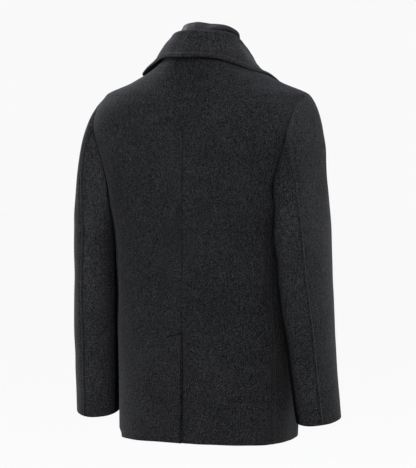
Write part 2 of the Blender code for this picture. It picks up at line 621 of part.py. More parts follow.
def collar_half():
    """Face and normals of the left half of the collar, from centre back to the notch."""
    faces, folds = [], []
    Placed = namedtuple("Placed", ("place",) + Collar._fields)
    rows = [Placed(i, *row) for i, row in enumerate(COLLAR)]
    for place in np.linspace(0.0, len(COLLAR) - 1, COLLAR_STATIONS + 1):
        row = {field: float(table(rows, field, place)) for field in Collar._fields}
        seam_height = float(neck_seam(row["seam_turn"]))
        out = unit(body_normal(row["seam_turn"], seam_height) * np.array([1.0, 1.0, 0.0]))
        seam = on_body(row["seam_turn"], seam_height) - out * 0.0030 + np.array([0.0, 0.0, SEAM_GAP * 2])
        lines = [np.array([row[line + axis] for axis in ("_x", "_y", "_z")]) for line in COLLAR_LINES]
        face, fold = collar_section(seam, *lines)
        fold[0] = -out
        faces.append(face)
        folds.append(fold)
    faces = np.array(faces)
    normals = unit(np.cross(np.gradient(faces, axis=0), np.gradient(faces, axis=1)))
    normals[:, : len(folds[0])] = folds
    normals[0, :, 0] = 0.0
    gorge, flat = zip(*[gorge_section(share) for share in np.linspace(0.0, 1.0, GORGE_STATIONS + 1)])
    opening = np.linspace(0.0, 1.0, OPENING_STATIONS + 1)[1:-1]
    faces = list(faces) + [lerp(faces[-1], gorge[0], share) for share in opening] + list(gorge)
    normals = list(normals) + [lerp(normals[-1], flat[0], share) for share in opening] + list(flat)
    return np.array(faces), unit(np.array(normals))


def both_halves(half):
    return np.concatenate([half[:0:-1] * np.array([-1.0, 1.0, 1.0]), half])


def leaned(points):
    """The collar's own lean: none at the neck seam, all of it from the roll up."""
    share = smooth((points[..., 2:] - 0.008) / 0.032)
    shift = np.concatenate([COLLAR_SHIFT * share, 0 * share, COLLAR_LEAN * points[..., :1] * share], -1)
    return points + shift


def collar(material):
    """The turned-down collar, from its seam with the stand, over the roll, to its outer edge."""
    face, normal = (both_halves(half) for half in collar_half())
    face = leaned(face)
    leaf_from = STAND_STEPS + ROLL_STEPS
    face[:, leaf_from:] = lifted(face[:, leaf_from:], DOUBLE_CLOTH + LEAF_GAP)
    face, normal = face[:, STAND_SEAM:], normal[:, STAND_SEAM:]
    face[:, 0] += unit(face[:, 1] - face[:, 0]) * SEAM_GAP
    station = np.abs(np.arange(len(face)) - len(face) // 2)
    pressed = 1 - 0.5 * np.exp(-(((station - COLLAR_STATIONS - 1.5) / 1.6) ** 2))
    inside = face - normal * DOUBLE_CLOTH * pressed[:, None, None]
    return cloth_wall("collar", face, inside, material)


def collar_stand(material):
    """The stand, from the neck seam up to the collar; it runs out at the gorge."""
    face, normal = (half[: COLLAR_STATIONS + 1, : STAND_SEAM + 1] for half in collar_half())
    end = on_body(STAND_END_TURN, float(neck_seam(STAND_END_TURN)), -0.0025) + np.array([0.0, 0.0, 0.0025])
    face = np.concatenate([face, lerp(face[-1:], end, 0.6)])
    normal = np.concatenate([normal, normal[-1:]])
    face, normal = leaned(both_halves(face)), both_halves(normal)
    return cloth_wall("collar_stand", face, face - normal * DOUBLE_CLOTH, material)


def lapel(side, name, material):
    """The turned-back top of a front, lying on it from the roll line to its outer edge."""
    rise = np.linspace(0.0, 1.0, LAPEL_ROWS + 1)[:, None]
    gorge_x = body_form(GORGE_TURN, GORGE_HEIGHT)[0]
    notch = (NOTCH_X - gorge_x) / (LAPEL_TIP_X - gorge_x)
    to_notch = np.linspace(0.0, notch, GORGE_STATIONS + 1)
    past_notch = np.linspace(notch, 1.0, LAPEL_COLUMNS - GORGE_STATIONS + 1)[1:]
    across = np.concatenate([to_notch, past_notch])[None, :]
    height_in = lerp(BREAK_HEIGHT, GORGE_HEIGHT, rise)
    x_in = roll_x(height_in)
    belly = 0.010 * np.sin(np.pi * rise)
    x_out = lerp(-WRAP + 0.012, LAPEL_TIP_X, rise) + belly
    height_out = lerp(BREAK_HEIGHT - 0.002, LAPEL_TIP_HEIGHT, rise)
    line = lerp(GORGE_HEIGHT, LAPEL_TIP_HEIGHT, notch)
    sag = (NOTCH_HEIGHT - line) * np.interp(across[0], [0.0, notch, 1.0], [0.0, 1.0, 0.0])[None, :]
    x = lerp(x_in, x_out, across)
    height = lerp(height_in, height_out, across) + sag * rise ** 6 - SEAM_GAP * rise ** 20
    turn = front_turn(x, height)
    under = overlap_lift(turn, height) if side > 0 else 0 * turn
    free_from = 0.05 if side > 0 else 0.55  # the lower lapel lies flat where the upper front covers it
    roll = 0.0045 * np.exp(-((across / 0.22) ** 2)) * smooth((rise - free_from) / 0.2)
    gap = lerp(LAP_GAP, COLLAR_GAP, smooth((rise - 0.5) / 0.3))
    lift = under + gap + DOUBLE_CLOTH + roll
    outside = on_body(side * turn, height, lift)
    inside = on_body(side * turn, height, lift - DOUBLE_CLOTH)
    return cloth_wall(name, outside, inside, material)


def neck_band(material):
    """Leather band round the back of the neck, inside the stand; it rises above the roll and leans in."""
    half = collar_half()[0][:BAND_STATIONS]
    stand_foot, stand_top = half[:, 0], half[:, STAND_STEPS]
    crest = half[:, STAND_STEPS + 2]
    inward = unit((np.array([0.0, 0.013, 0.0]) - stand_top) * np.array([1.0, 1.0, 0.0]))
    place = np.linspace(0.0, 1.0, BAND_STATIONS)[:, None]
    rise = BAND_RISE * np.clip(1 - place ** 2.2 * 1.25, -0.15, 1.0)
    foot = lerp(stand_foot, stand_top, 0.35) + inward * 0.0012
    middle = stand_top + inward * 0.0014
    top = np.concatenate([stand_top[:, :2], crest[:, 2:] + rise], axis=1) + inward * (0.0014 + BAND_LEAN)
    face = np.stack([foot, middle, lerp(middle, top, 0.55) + inward * -0.0015, top], axis=1)
    face = leaned(both_halves(face))
    inward = both_halves(inward)[:, None]
    return cloth_wall("neck_band", face, face + inward * BAND, material)


# Buttons and welts


def button(name, x, height, material):
    """Four-hole button with a raised rim, flat against the upper front."""
    turn = front_turn(x, height)
    lift = float(overlap_lift(turn, height)) + BUTTON_STANDOFF
    place = on_body(turn, height, lift)
    normal = body_normal(turn, height)
    profile = [
        (0.0, BUTTON_THICK * 0.62),
        (BUTTON_RADIUS - BUTTON_RIM, BUTTON_THICK * 0.62),
        (BUTTON_RADIUS - BUTTON_RIM * 0.7, BUTTON_THICK),
        (BUTTON_RADIUS - BUTTON_RIM * 0.2, BUTTON_THICK),
        (BUTTON_RADIUS, BUTTON_THICK * 0.6),
        (BUTTON_RADIUS * 0.86, 0.0),
        (0.0, 0.0),
    ]
    mesh = bmesh.new()
    points = [mesh.verts.new((radius, 0.0, level)) for radius, level in profile]
    edges = [mesh.edges.new(pair) for pair in zip(points, points[1:])]
    turned = {"axis": (0, 0, 1), "cent": (0, 0, 0), "angle": np.radians(360), "steps": 16}
    bmesh.ops.spin(mesh, geom=points + edges, use_merge=True, **turned)
    bmesh.ops.remove_doubles(mesh, verts=mesh.verts, dist=0.00001)
    bmesh.ops.recalc_face_normals(mesh, faces=mesh.faces)
    made = finish_object(name, mesh, material)
    for i in range(4):
        cutter = hole_cutter(name + "_hole_" + str(i), i)
        cutter.parent = made
        cut = made.modifiers.new("hole_" + str(i), "BOOLEAN")
        cut.operation = "DIFFERENCE"
        cut.object = cutter
    made.location = place
    made.rotation_mode = "QUATERNION"
    made.rotation_quaternion = Vector(normal).to_track_quat("Z", "Y")
    return made


def hole_cutter(name, corner):
    mesh = bmesh.new()
    bmesh.ops.create_cone(
        mesh, cap_ends=True, segments=6, radius1=HOLE_RADIUS, radius2=HOLE_RADIUS, depth=BUTTON_THICK * 3
    )
    data = bpy.data.meshes.new(name)
    mesh.to_mesh(data)
    mesh.free()
    made = bpy.data.objects.new(name, data)
    made.location = (HOLE_PITCH * (1 if corner % 2 else -1), HOLE_PITCH * (1 if corner // 2 else -1), 0.0)
    made.hide_render = True
    made.display_type = "WIRE"
    bpy.data.collections["cutters"].objects.link(made)
    return made


def pocket_welt(side, name, material):
    """Slanted welt of a hand pocket, on the front."""
    down = np.linspace(0.0, 1.0, 9)[:, None]
    across = np.linspace(0.0, 1.0, 4)[None, :]
    turn = lerp(WELT_TURN_TOP, WELT_TURN_FOOT, down) - WELT_TURNS * across
    height = lerp(WELT_TOP, WELT_FOOT, down) + 0.004 * across
    under = overlap_lift(turn, height) if side > 0 else 0 * turn
    lift = under + LAP_GAP + CLOTH
    outside, inside = (on_body(side * turn, height, level) for level in (lift, lift - CLOTH))
    return cloth_wall(name, outside, inside, material)


# The whole coat


def surface(name, colour, roughness):
    made = bpy.data.materials.new(name)
    made.use_nodes = True
    shader = made.node_tree.nodes["Principled BSDF"]
    shader.inputs["Base Color"].default_value = colour
    shader.inputs["Roughness"].default_value = roughness
    shader.inputs["Metallic"].default_value = 0.0
    return made


def main():
    for old in list(bpy.data.objects):
        bpy.data.objects.remove(old)
    for name in ("pea_coat", "cutters"):
        bpy.context.scene.collection.children.link(bpy.data.collections.new(name))
    wool = surface("wool", CHARCOAL, 0.95)
    leather = surface("leather", LEATHER, 0.45)
    horn = surface("horn", HORN, 0.35)
    for side, word in ((1, "left"), (-1, "right")):
        back_panel(side, "back_" + word, wool)
        front_panel(side, "front_" + word, wool)
        sleeve(side, word, wool)
        lapel(side, "lapel_" + word, wool)
        pocket_welt(side, "pocket_welt_" + word, wool)
    collar_stand(wool)
    collar(wool)
    neck_band(leather)
    for row, height in enumerate(BUTTON_HEIGHTS, start=1):
        button("button_left_" + str(row), BUTTON_X, height, horn)
        button("button_right_" + str(row), -BUTTON_X, height, horn)


main()
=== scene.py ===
# A man's wool pea coat, filled out as when it is worn: the looks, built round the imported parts.
# Metres, +Z up. The wearer looks along -Y, so the wearer's left is +X.
# A place on the body is a turn (degrees: 0 centre back, 90 the left side, 180 centre front) and a height.
from collections import namedtuple

import bmesh
import bpy
import numpy as np
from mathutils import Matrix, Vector


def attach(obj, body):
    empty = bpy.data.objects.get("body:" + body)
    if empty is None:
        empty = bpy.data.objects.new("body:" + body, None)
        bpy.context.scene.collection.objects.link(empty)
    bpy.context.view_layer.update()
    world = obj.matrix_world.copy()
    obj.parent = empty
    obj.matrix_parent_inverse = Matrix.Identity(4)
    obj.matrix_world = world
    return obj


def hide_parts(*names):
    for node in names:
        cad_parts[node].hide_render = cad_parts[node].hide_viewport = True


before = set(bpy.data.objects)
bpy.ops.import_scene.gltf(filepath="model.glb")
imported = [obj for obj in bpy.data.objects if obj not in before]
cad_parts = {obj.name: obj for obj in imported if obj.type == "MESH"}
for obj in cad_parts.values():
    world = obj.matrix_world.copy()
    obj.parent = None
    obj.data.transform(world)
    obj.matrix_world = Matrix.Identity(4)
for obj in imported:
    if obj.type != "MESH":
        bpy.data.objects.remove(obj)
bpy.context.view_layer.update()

coat = {
    "cloth": 0.0024, "doubleCloth": 0.0030,
    "lapGap": 0.0005, "frontGap": 0.0014, "collarGap": 0.0012, "leafGap": 0.0016,
    "hemBack": -0.773, "hemFront": -0.757, "hemLow": 2.2,
    "shoulderTip": -0.090, "neckBack": 0.003, "neckSide": 0.0,
    # heights at a panel's inner side of the rows that start at the underarm and at the shoulder tip
    "underarmLevel": -0.315, "backYoke": -0.100, "frontYoke": -0.085,
    "gorgeTurn": 125.0, "gorgeHeight": -0.025,
    "wrap": 0.090,  # the front edge lies this far past the centre front
    "breakHeight": -0.375,  # the lapels turn back from here
    "crossing": -0.184,  # the fronts cross each other here
    "ventTop": -0.557, "ventLap": 0.036,
    "armholeMiddle": 0.020, "armholeHalfDepth": 0.070, "armholeBottom": -0.320, "armholePower": 2.5,
    # where the armhole's line lies in from that curve: height, spread, how far, and 1 behind or -1 in front
    "armholeHollows": (
        (-0.118, 0.026, 0.0112, 1), (-0.190, 0.040, 0.0080, 1), (-0.240, 0.034, 0.0050, 1),
        (-0.101, 0.011, 0.0130, -1)),
}
sides = ((1, "left"), (-1, "right"))
mirrored, levelled = np.array([-1.0, 1.0, 1.0]), np.array([1.0, 1.0, 0.0])
# Steps round the armhole: the side seam meets it at step 8, the sleeve's back seam at 4, its front seam at 13
armStep, sideSeamStep, hindSeamStep, foreSeamStep, armSteps = 18.0, 8, 4, 13, 20

Section = namedtuple("Section", "height halfWidth back front middle widthPower depthPower")
bodySections = [
    Section(-0.800, 0.1790, 0.1140, -0.1180, 0.000, 3.0, 3.0),
    Section(-0.775, 0.1800, 0.1138, -0.1180, 0.000, 3.0, 3.0),
    Section(-0.680, 0.1850, 0.1128, -0.1185, 0.000, 3.0, 3.0),
    Section(-0.560, 0.1880, 0.1112, -0.1180, 0.000, 3.0, 3.0),
    Section(-0.460, 0.1880, 0.1095, -0.1165, 0.000, 3.0, 3.0),
    Section(-0.400, 0.1885, 0.1092, -0.1185, 0.000, 3.0, 3.0),
    Section(-0.360, 0.1905, 0.1091, -0.1200, 0.000, 3.1, 3.1),
    Section(-0.324, 0.1955, 0.1089, -0.1208, 0.000, 3.3, 3.3),
    Section(-0.286, 0.2015, 0.1085, -0.1205, 0.000, 3.6, 3.6),
    Section(-0.240, 0.2105, 0.1076, -0.1185, 0.000, 4.1, 4.1),
    Section(-0.198, 0.2210, 0.1062, -0.1140, 0.000, 4.6, 4.6),
    Section(-0.154, 0.2330, 0.1045, -0.1050, -0.001, 4.8, 4.8),
    Section(-0.125, 0.2315, 0.1035, -0.0925, -0.001, 4.0, 3.8),
    Section(-0.105, 0.2285, 0.1026, -0.0840, 0.001, 3.0, 2.8),
    Section(-0.090, 0.2250, 0.1020, -0.0770, 0.002, 2.4, 2.0),
    Section(-0.064, 0.1670, 0.1008, -0.0670, 0.004, 2.1, 1.6),
    Section(-0.041, 0.1205, 0.0995, -0.0610, 0.008, 2.1, 1.6),
    Section(-0.029, 0.1020, 0.0985, -0.0585, 0.010, 2.2, 1.6),
    Section(-0.013, 0.0810, 0.0960, -0.0545, 0.012, 2.2, 1.6),
    Section(0.000, 0.0700, 0.0940, -0.0520, 0.013, 2.2, 1.8),
    Section(0.012, 0.0640, 0.0930, -0.0500, 0.013, 2.2, 2.0),
]

SideSeam = namedtuple("SideSeam", "height turn")
sideSeam = [
    SideSeam(-0.775, 62.0), SideSeam(-0.570, 57.0), SideSeam(-0.450, 53.5),
    SideSeam(-0.360, 53.5), SideSeam(-0.300, 57.0),
]

# Soft folds of the body: a ridge (+) or trough (-) along a straight line on it
Fold = namedtuple("Fold", "turnTop top turnFoot foot width rise")
bodyFolds = [
    Fold(38.0, -0.080, 42.0, -0.290, 0.030, 0.0022),
    Fold(-8.0, -0.430, -40.0, -0.590, 0.022, -0.0028),
    Fold(-22.0, -0.440, -52.0, -0.610, 0.022, 0.0026),
    Fold(24.0, -0.560, 30.0, -0.790, 0.034, 0.0030),
    Fold(-30.0, -0.620, -34.0, -0.800, 0.034, 0.0026),
    Fold(61.0, -0.400, 63.0, -0.740, 0.045, -0.0046),
    Fold(61.0, -0.757, 61.0, -0.800, 0.030, -0.0050),
    Fold(-75.0, -0.420, -84.0, -0.790, 0.040, 0.0030),
    Fold(112.0, -0.092, 128.0, -0.195, 0.030, -0.0050),
    Fold(-112.0, -0.092, -128.0, -0.195, 0.030, -0.0050),
]

# Sleeve rings below the cap; tip is how far the back edge hangs below the middle
Ring = namedtuple("Ring", "height out middle halfWidth halfDepth tip")
sleeveRings = [
    Ring(-0.380, 0.2295, 0.0310, 0.0385, 0.0840, 0.000),
    Ring(-0.440, 0.2325, 0.0295, 0.0405, 0.0820, 0.001),
    Ring(-0.500, 0.2355, 0.0265, 0.0425, 0.0780, 0.003),
    Ring(-0.560, 0.2385, 0.0225, 0.0430, 0.0700, 0.006),
    Ring(-0.620, 0.2420, 0.0175, 0.0430, 0.0620, 0.009),
    Ring(-0.680, 0.2465, 0.0110, 0.0425, 0.0545, 0.011),
    Ring(-0.727, 0.2500, 0.0050, 0.0420, 0.0505, 0.012),
]
HindSeam = namedtuple("HindSeam", "height left right")
hindSeam = [
    HindSeam(-0.380, 103.0, 49.0), HindSeam(-0.500, 98.0, 45.0),
    HindSeam(-0.620, 92.0, 49.0), HindSeam(-0.727, 87.0, 55.0),
]
# Creases of the sleeves: turn round the arm, height of the middle, how steeply it climbs with the turn
Crease = namedtuple("Crease", "turn height climb spread width rise")
sleeveCreases = [
    Crease(100.0, -0.330, 0.020, 45.0, 0.016, -0.0012),
    Crease(120.0, -0.372, 0.012, 50.0, 0.014, 0.0008),
    Crease(100.0, -0.455, -0.016, 34.0, 0.018, -0.0014),
    Crease(95.0, -0.492, -0.008, 34.0, 0.018, 0.0012),
    Crease(230.0, -0.520, 0.014, 55.0, 0.016, -0.0030),
    Crease(250.0, -0.475, 0.010, 45.0, 0.016, 0.0020),
    Crease(70.0, -0.600, 0.018, 34.0, 0.020, -0.0010),
]
# Where the sleeves stand fuller or flatter, over a wide area
sleeveFullness = [
    Crease(118.0, -0.335, 0.0, 44.0, 0.050, 0.0118),
    Crease(126.0, -0.450, 0.0, 38.0, 0.062, 0.0062),
    Crease(120.0, -0.690, 0.0, 36.0, 0.070, 0.0030),
    Crease(-40.0, -0.330, 0.0, 55.0, 0.095, 0.0050),
    Crease(50.0, -0.470, 0.0, 40.0, 0.060, -0.0032),
    Crease(-20.0, -0.176, 0.0, 50.0, 0.022, 0.0022),
]

# Collar, left half, from centre back to the gorge: neck seam, roll line, middle of the leaf and outer edge
Collar = namedtuple("Collar", "seamTurn rollX rollY rollZ midX midY midZ edgeX edgeY edgeZ")
collarRows = [
    Collar(0.0, 0.0000, 0.0855, 0.0415, 0.0000, 0.0985, 0.0130, 0.0000, 0.1120, -0.0110),
    Collar(22.0, 0.0255, 0.0805, 0.0410, 0.0280, 0.0930, 0.0130, 0.0290, 0.1040, -0.0108),
    Collar(42.0, 0.0445, 0.0680, 0.0395, 0.0515, 0.0770, 0.0115, 0.0545, 0.0850, -0.0140),
    Collar(60.0, 0.0560, 0.0520, 0.0370, 0.0675, 0.0580, 0.0085, 0.0750, 0.0670, -0.0200),
    Collar(75.0, 0.0620, 0.0350, 0.0330, 0.0785, 0.0370, 0.0030, 0.0980, 0.0470, -0.0290),
    Collar(90.0, 0.0660, 0.0150, 0.0260, 0.0865, 0.0150, -0.0080, 0.1240, 0.0260, -0.0410),
    Collar(102.0, 0.0685, -0.0050, 0.0125, 0.0885, -0.0080, -0.0160, 0.1400, 0.0030, -0.0500),
    Collar(112.0, 0.0735, -0.0200, -0.0025, 0.0950, -0.0270, -0.0280, 0.1470, -0.0240, -0.0640),
]

for rows in (bodySections, sideSeam, sleeveRings, hindSeam):
    rows.sort()


def lerp(a, b, t):
    return a + (b - a) * t


def smooth(t):
    t = np.clip(t, 0.0, 1.0)
    return t * t * (3 - 2 * t)


def above(value, level, reach):
    # 0 up to a level, growing softly to 1 over a reach past it
    return smooth((value - level) / reach)


def below(value, level, reach):
    return smooth((level - value) / reach)


def hump(t):
    return np.exp(-t * t)


def unit(vectors):
    return vectors / np.maximum(np.linalg.norm(vectors, axis=-1, keepdims=True), 1e-12)


def hermite(start, startPull, end, endPull, t):
    # a smooth curve from start to end that leaves and arrives the way it is pulled
    return (
        (1 + 2 * t) * (1 - t) ** 2 * start + t * (1 - t) ** 2 * startPull
        + t * t * (3 - 2 * t) * end + t * t * (t - 1) * endPull
    )


def table(rows, column, at):
    # one column of a table read at any place, by a monotone cubic through its rows
    keys = np.array([row[0] for row in rows])
    values = np.array([getattr(row, column) for row in rows])
    gaps = np.diff(keys)
    slopes = np.diff(values) / gaps
    pulls = np.zeros(len(keys))
    pulls[0], pulls[-1] = slopes[0], slopes[-1]
    for i in range(1, len(keys) - 1):
        if slopes[i - 1] * slopes[i] > 0:
            first, second = 2 * gaps[i] + gaps[i - 1], gaps[i] + 2 * gaps[i - 1]
            pulls[i] = (first + second) / (first / slopes[i - 1] + second / slopes[i])
    at = np.clip(np.asarray(at, float), keys[0], keys[-1])
    i = np.clip(np.searchsorted(keys, at) - 1, 0, len(gaps) - 1)
    t = (at - keys[i]) / gaps[i]
    return hermite(values[i], gaps[i] * pulls[i], values[i + 1], gaps[i] * pulls[i + 1], t)


def halved(low, high, isBefore, shape):
    # between low and high, the place where the test stops being true
    low, high = np.full(shape, low), np.full(shape, high)
    for _ in range(36):
        middle = (low + high) / 2
        before = isBefore(middle)
        low, high = np.where(before, middle, low), np.where(before, high, middle)
    return (low + high) / 2


def lengthAlong(line):
    return np.concatenate([[0.0], np.cumsum(np.linalg.norm(np.diff(line, axis=0), axis=1))])


def alongLine(line, length, at):
    return np.stack([np.interp(at, length, line[:, k]) for k in range(3)], -1)


# The body's form


def girth(height):
    # half the body's width at a height, the middle of its depth, its back and its front
    return [table(bodySections, column, height) for column in ("halfWidth", "middle", "back", "front")]


def bodyForm(turn, height):
    turn, height = np.broadcast_arrays(np.asarray(turn, float), np.asarray(height, float))
    across, along = np.sin(np.radians(turn)), np.cos(np.radians(turn))
    halfWidth, middle, back, front = girth(height)
    depth = np.where(along >= 0, back - middle, middle - front)
    p, q = table(bodySections, "widthPower", height), table(bodySections, "depthPower", height)
    reach = np.ones_like(across)
    for _ in range(14):  # Newton's steps out to the rounded outline
        a, b = (reach * np.abs(across)) ** p, (reach * np.abs(along)) ** q
        reach = reach - (a + b - 1) * reach / (p * a + q * b)
    return np.stack([halfWidth * reach * across, middle + depth * reach * along, height], -1)


def bodyNormal(turn, height):
    stepTurn, stepHeight = 0.4, 0.0015
    around = bodyForm(turn + stepTurn, height) - bodyForm(turn - stepTurn, height)
    up = bodyForm(turn, height + stepHeight) - bodyForm(turn, height - stepHeight)
    return unit(np.cross(up, around))


def foldRise(turn, height):
    rise = np.zeros(np.broadcast(turn, height).shape)
    for fold in bodyFolds:
        t = (fold.top - height) / (fold.top - fold.foot)
        away = (turn - lerp(fold.turnTop, fold.turnFoot, t)) * 0.0027  # metres of cloth to a degree
        ends = above(t, -0.05, 0.35) * below(t, 1.25, 0.45)
        rise = rise + fold.rise * ends * hump(away / fold.width)
    return rise


def onBody(turn, height, lift=0.0):
    rise = foldRise(turn, height) + lift
    return bodyForm(turn, height) + bodyNormal(turn, height) * np.asarray(rise)[..., None]


def frontTurn(x, height):
    # the turn at which the front of the body has this x, which may lie past the centre
    x, height = np.broadcast_arrays(np.asarray(x, float), np.asarray(height, float))
    return halved(90.0, 270.0, lambda turn: bodyForm(turn, height)[..., 0] > x, x.shape)


def armhole(turn):
    # height and body turn of the armhole at a turn round the arm: 0 shoulder tip, 90 back, 180 underarm
    angle = np.radians(np.asarray(turn, float))
    top, bottom, power = coat["shoulderTip"], coat["armholeBottom"], 2 / coat["armholePower"]
    up, behind = (np.sign(way) * np.abs(way) ** power for way in (np.cos(angle), np.sin(angle)))
    height = (top + bottom) / 2 + (top - bottom) / 2 * up
    ends = above(height, top - 0.03, 0.03) + below(height, bottom + 0.02, 0.02)
    y = coat["armholeMiddle"] * (1 - ends) + coat["armholeHalfDepth"] * behind
    for middle, width, depth, side in coat["armholeHollows"]:
        y = y - side * depth * hump((height - middle) / width) * above(np.sin(angle) * side, 0.0, 0.3)
    return height, halved(0.0, 180.0, lambda place: bodyForm(place, height)[..., 1] > y, np.shape(y))


def rollX(height):
    # the lapel's roll line seen from the front, from the front edge up to the gorge
    gorgeX = bodyForm(coat["gorgeTurn"], coat["gorgeHeight"])[0]
    share = (height - coat["breakHeight"]) / (coat["gorgeHeight"] - coat["breakHeight"])
    return lerp(-coat["wrap"], gorgeX, share)


# Sewn cloth

seam = {"depth": 0.0010, "width": 0.0017, "pucker": 0.00018, "puckerPitch": 0.017, "puckerReach": 0.009}
stitchLine = {"depth": 0.0006, "width": 0.0012, "welt": 0.0010, "puckerPitch": 0.011, "tone": 0.8}


def near(points, line):
    # distance from each point to a line of points, and how far along the line the nearest one is
    line, flat = line.reshape(-1, 3), points.reshape(-1, 3)
    along = lengthAlong(line)
    best, where = np.empty(len(flat)), np.empty(len(flat))
    for start in range(0, len(flat), 4000):  # in batches, to spare memory
        batch = slice(start, start + 4000)
        away = ((flat[batch, None] - line[None]) ** 2).sum(-1)
        k = away.argmin(1)
        best[batch] = np.sqrt(away[np.arange(len(k)), k])
        where[batch] = along[k]
    return best.reshape(points.shape[:-1]), where.reshape(points.shape[:-1])


def awayFrom(points, line):
    return near(points, line)[0]


def seamDip(points, line):
    away, along = near(points, line)
    ripple = seam["pucker"] * np.sin(2 * np.pi * along / seam["puckerPitch"] + 1.7 * np.sin(along * 41.0))
    return ripple * hump(away / seam["puckerReach"]) - seam["depth"] * hump(away / seam["width"])


def stitchDip(points, line, distance):
    # a row of stitches at a distance from an edge or seam, and the soft welt between the two
    away, along = near(points, line)
    welt = stitchLine["welt"] * hump((away - distance / 2) / (distance / 3))
    ripple = np.sin(2 * np.pi * along / stitchLine["puckerPitch"] + 2.1 * np.sin(along * 37.0))
    pressed = stitchLine["depth"] + seam["pucker"] * ripple
    return welt - pressed * hump((away - distance) / stitchLine["width"])


def seamShade(away, width=0.0011):
    return hump(away / width)


def topstitched(points, border, distance, width=0.0009):
    # a border with a row of stitches beside it: its dips, its shade, and how far each point lies from it
    away = awayFrom(points, border)
    return stitchDip(points, border, distance), stitchLine["tone"] * seamShade(away - distance, width), away


def spread(lengths, first, middle, last):
    # shares along rows of given lengths: some at set distances from either end, the rest evenly between
    start = np.array(first)[None, :] / lengths[:, None]
    end = 1 - np.array(last)[None, ::-1] / lengths[:, None]
    t = np.linspace(0.0, 1.0, middle + 2)[None, 1:-1]
    return np.concatenate([start, lerp(start[:, -1:], end[:, :1], t), end], 1)


# distances from a seam or edge at which a row of points is set, so that seams and stitches have their form
plainEdge = (0.0, 0.0007, 0.0014, 0.0022, 0.0032, 0.0046, 0.0065, 0.009)
sewnEdge = (0.0, 0.0007, 0.0014, 0.0022, 0.0032, 0.0044, 0.0052, 0.0060, 0.0067, 0.0074, 0.0082, 0.0095, 0.012)
lapEdge = (
    0.0, 0.0007, 0.0014, 0.0022, 0.0034, 0.0052, 0.0072, 0.0088, 0.0096, 0.0103, 0.0110, 0.0118, 0.013, 0.016)


def addObject(name, data, place=(0.0, 0.0, 0.0), facing=None):
    # facing says which way the object looks: a direction, the axis that takes it and the one kept up
    made = bpy.data.objects.new(name, data)
    bpy.context.scene.collection.objects.link(made)
    made.location = place
    if facing:
        way, axis, up = facing
        made.rotation_mode = "QUATERNION"
        made.rotation_quaternion = Vector(way).to_track_quat(axis, up)
    return made


def addPiece(name, data, material):
    data.materials.append(material)
    return addObject(name, data)


def clothShell(name, outside, inside, material, free=(0, 0, 0, 0), seamAndPaintedShade=0.0):
    # one piece of cloth, closed round its border; free says how round the first row's edge stands,
    # then the last row's, the first column's and the last column's
    rows, columns = outside.shape[:2]
    index = np.arange(rows * columns).reshape(rows, columns)
    border = np.concatenate([index[0, :-1], index[:-1, -1], index[-1, :0:-1], index[:0:-1, 0]])
    tangent = np.zeros((rows, columns, 3))
    tangent[0] += unit(outside[0] - outside[1]) * free[0]
    tangent[-1] += unit(outside[-1] - outside[-2]) * free[1]
    tangent[:, 0] += unit(outside[:, 0] - outside[:, 1]) * free[2]
    tangent[:, -1] += unit(outside[:, -1] - outside[:, -2]) * free[3]
    tangent = tangent.reshape(-1, 3)[border]
    face, back = outside.reshape(-1, 3), inside.reshape(-1, 3)
    middle, half = (face[border] + back[border]) / 2, (face[border] - back[border]) / 2
    thick = np.linalg.norm(half, axis=-1, keepdims=True)
    rings = [middle + half * np.cos(a) + tangent * thick * np.sin(a) for a in np.radians((45.0, 90.0, 135.0))]
    points = np.concatenate([face, back] + rings)
    count, edge = rows * columns, len(border)
    quads = np.stack([index[:-1, :-1], index[:-1, 1:], index[1:, 1:], index[1:, :-1]], -1).reshape(-1, 4)
    faces = [quads, quads[:, ::-1] + count]
    loops = [border] + [2 * count + i * edge + np.arange(edge) for i in range(3)] + [border + count]
    for a, b in zip(loops, loops[1:]):
        faces.append(np.stack([a, np.roll(a, -1), np.roll(b, -1), b], -1))
    data = bpy.data.meshes.new(name)
    data.from_pydata(points.tolist(), [], np.concatenate(faces).tolist())
    mesh = bmesh.new()
    mesh.from_mesh(data)
    bmesh.ops.recalc_face_normals(mesh, faces=mesh.faces)
    mesh.to_mesh(data)
    mesh.free()
    # the seam attribute darkens the cloth along seams and stitches, and also holds painted shade: the armhole's
    # lower part, the armpit, the arm's inner side and the vent's slit
    shade = np.zeros(len(points), np.float32)
    shade[:count] = np.broadcast_to(np.clip(seamAndPaintedShade, 0.0, 1.0), (rows, columns)).reshape(-1)
    data.attributes.new("seam", "FLOAT", "POINT").data.foreach_set("value", shade)
    data.shade_smooth()
    return addPiece(name, data, material)


def dress(piece, node, withPieces=()):
    # ties a finished piece and the sewing on it to the frame, and hides the imported part it stands for
    for row in withPieces:
        dress(row, None)
    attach(piece, "root")
    if node:
        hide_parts(node)


# Stitches: short threads that dip into the cloth at both ends
thread = {"pitch": 0.0036, "length": 0.0026, "radius": 0.00030, "proud": 0.00010}
tackThread = dict(thread, pitch=0.00085, length=0.0042, across=True)
holeThread = dict(thread, pitch=0.00062, length=0.0022, radius=0.00034, across=True)
# the rings of points of one stitch: where along it, how wide, and how many radii deep
stitchRings = ((-1.0, 0.35, 1.2), (-0.6, 1.0, 0.2), (0.0, 1.1, 0.0), (0.6, 1.0, 0.2), (1.0, 0.35, 1.2))
ringPoints = 5


def stitchRow(line, normals, settings):
    # the points of each stitch along one line; with "across" it lies square to the line
    length = lengthAlong(line)
    at = np.arange(settings["pitch"] / 2, length[-1], settings["pitch"])
    whole, up = alongLine(line, length, at), unit(alongLine(normals, length, at))
    along = unit(np.gradient(whole, axis=0))
    side = unit(np.cross(along, up))
    if settings.get("across"):
        along, side = side, along
    radius, reach = settings["radius"], settings["length"] / 2
    rings = []
    for place, size, sink in stitchRings:
        centre = whole + along * reach * place + up * (settings["proud"] - radius * sink)
        for angle in 2 * np.pi * np.arange(ringPoints) / ringPoints:
            rings.append(centre + (side * np.cos(angle) + up * np.sin(angle)) * radius * size)
    return np.stack(rings, 1)


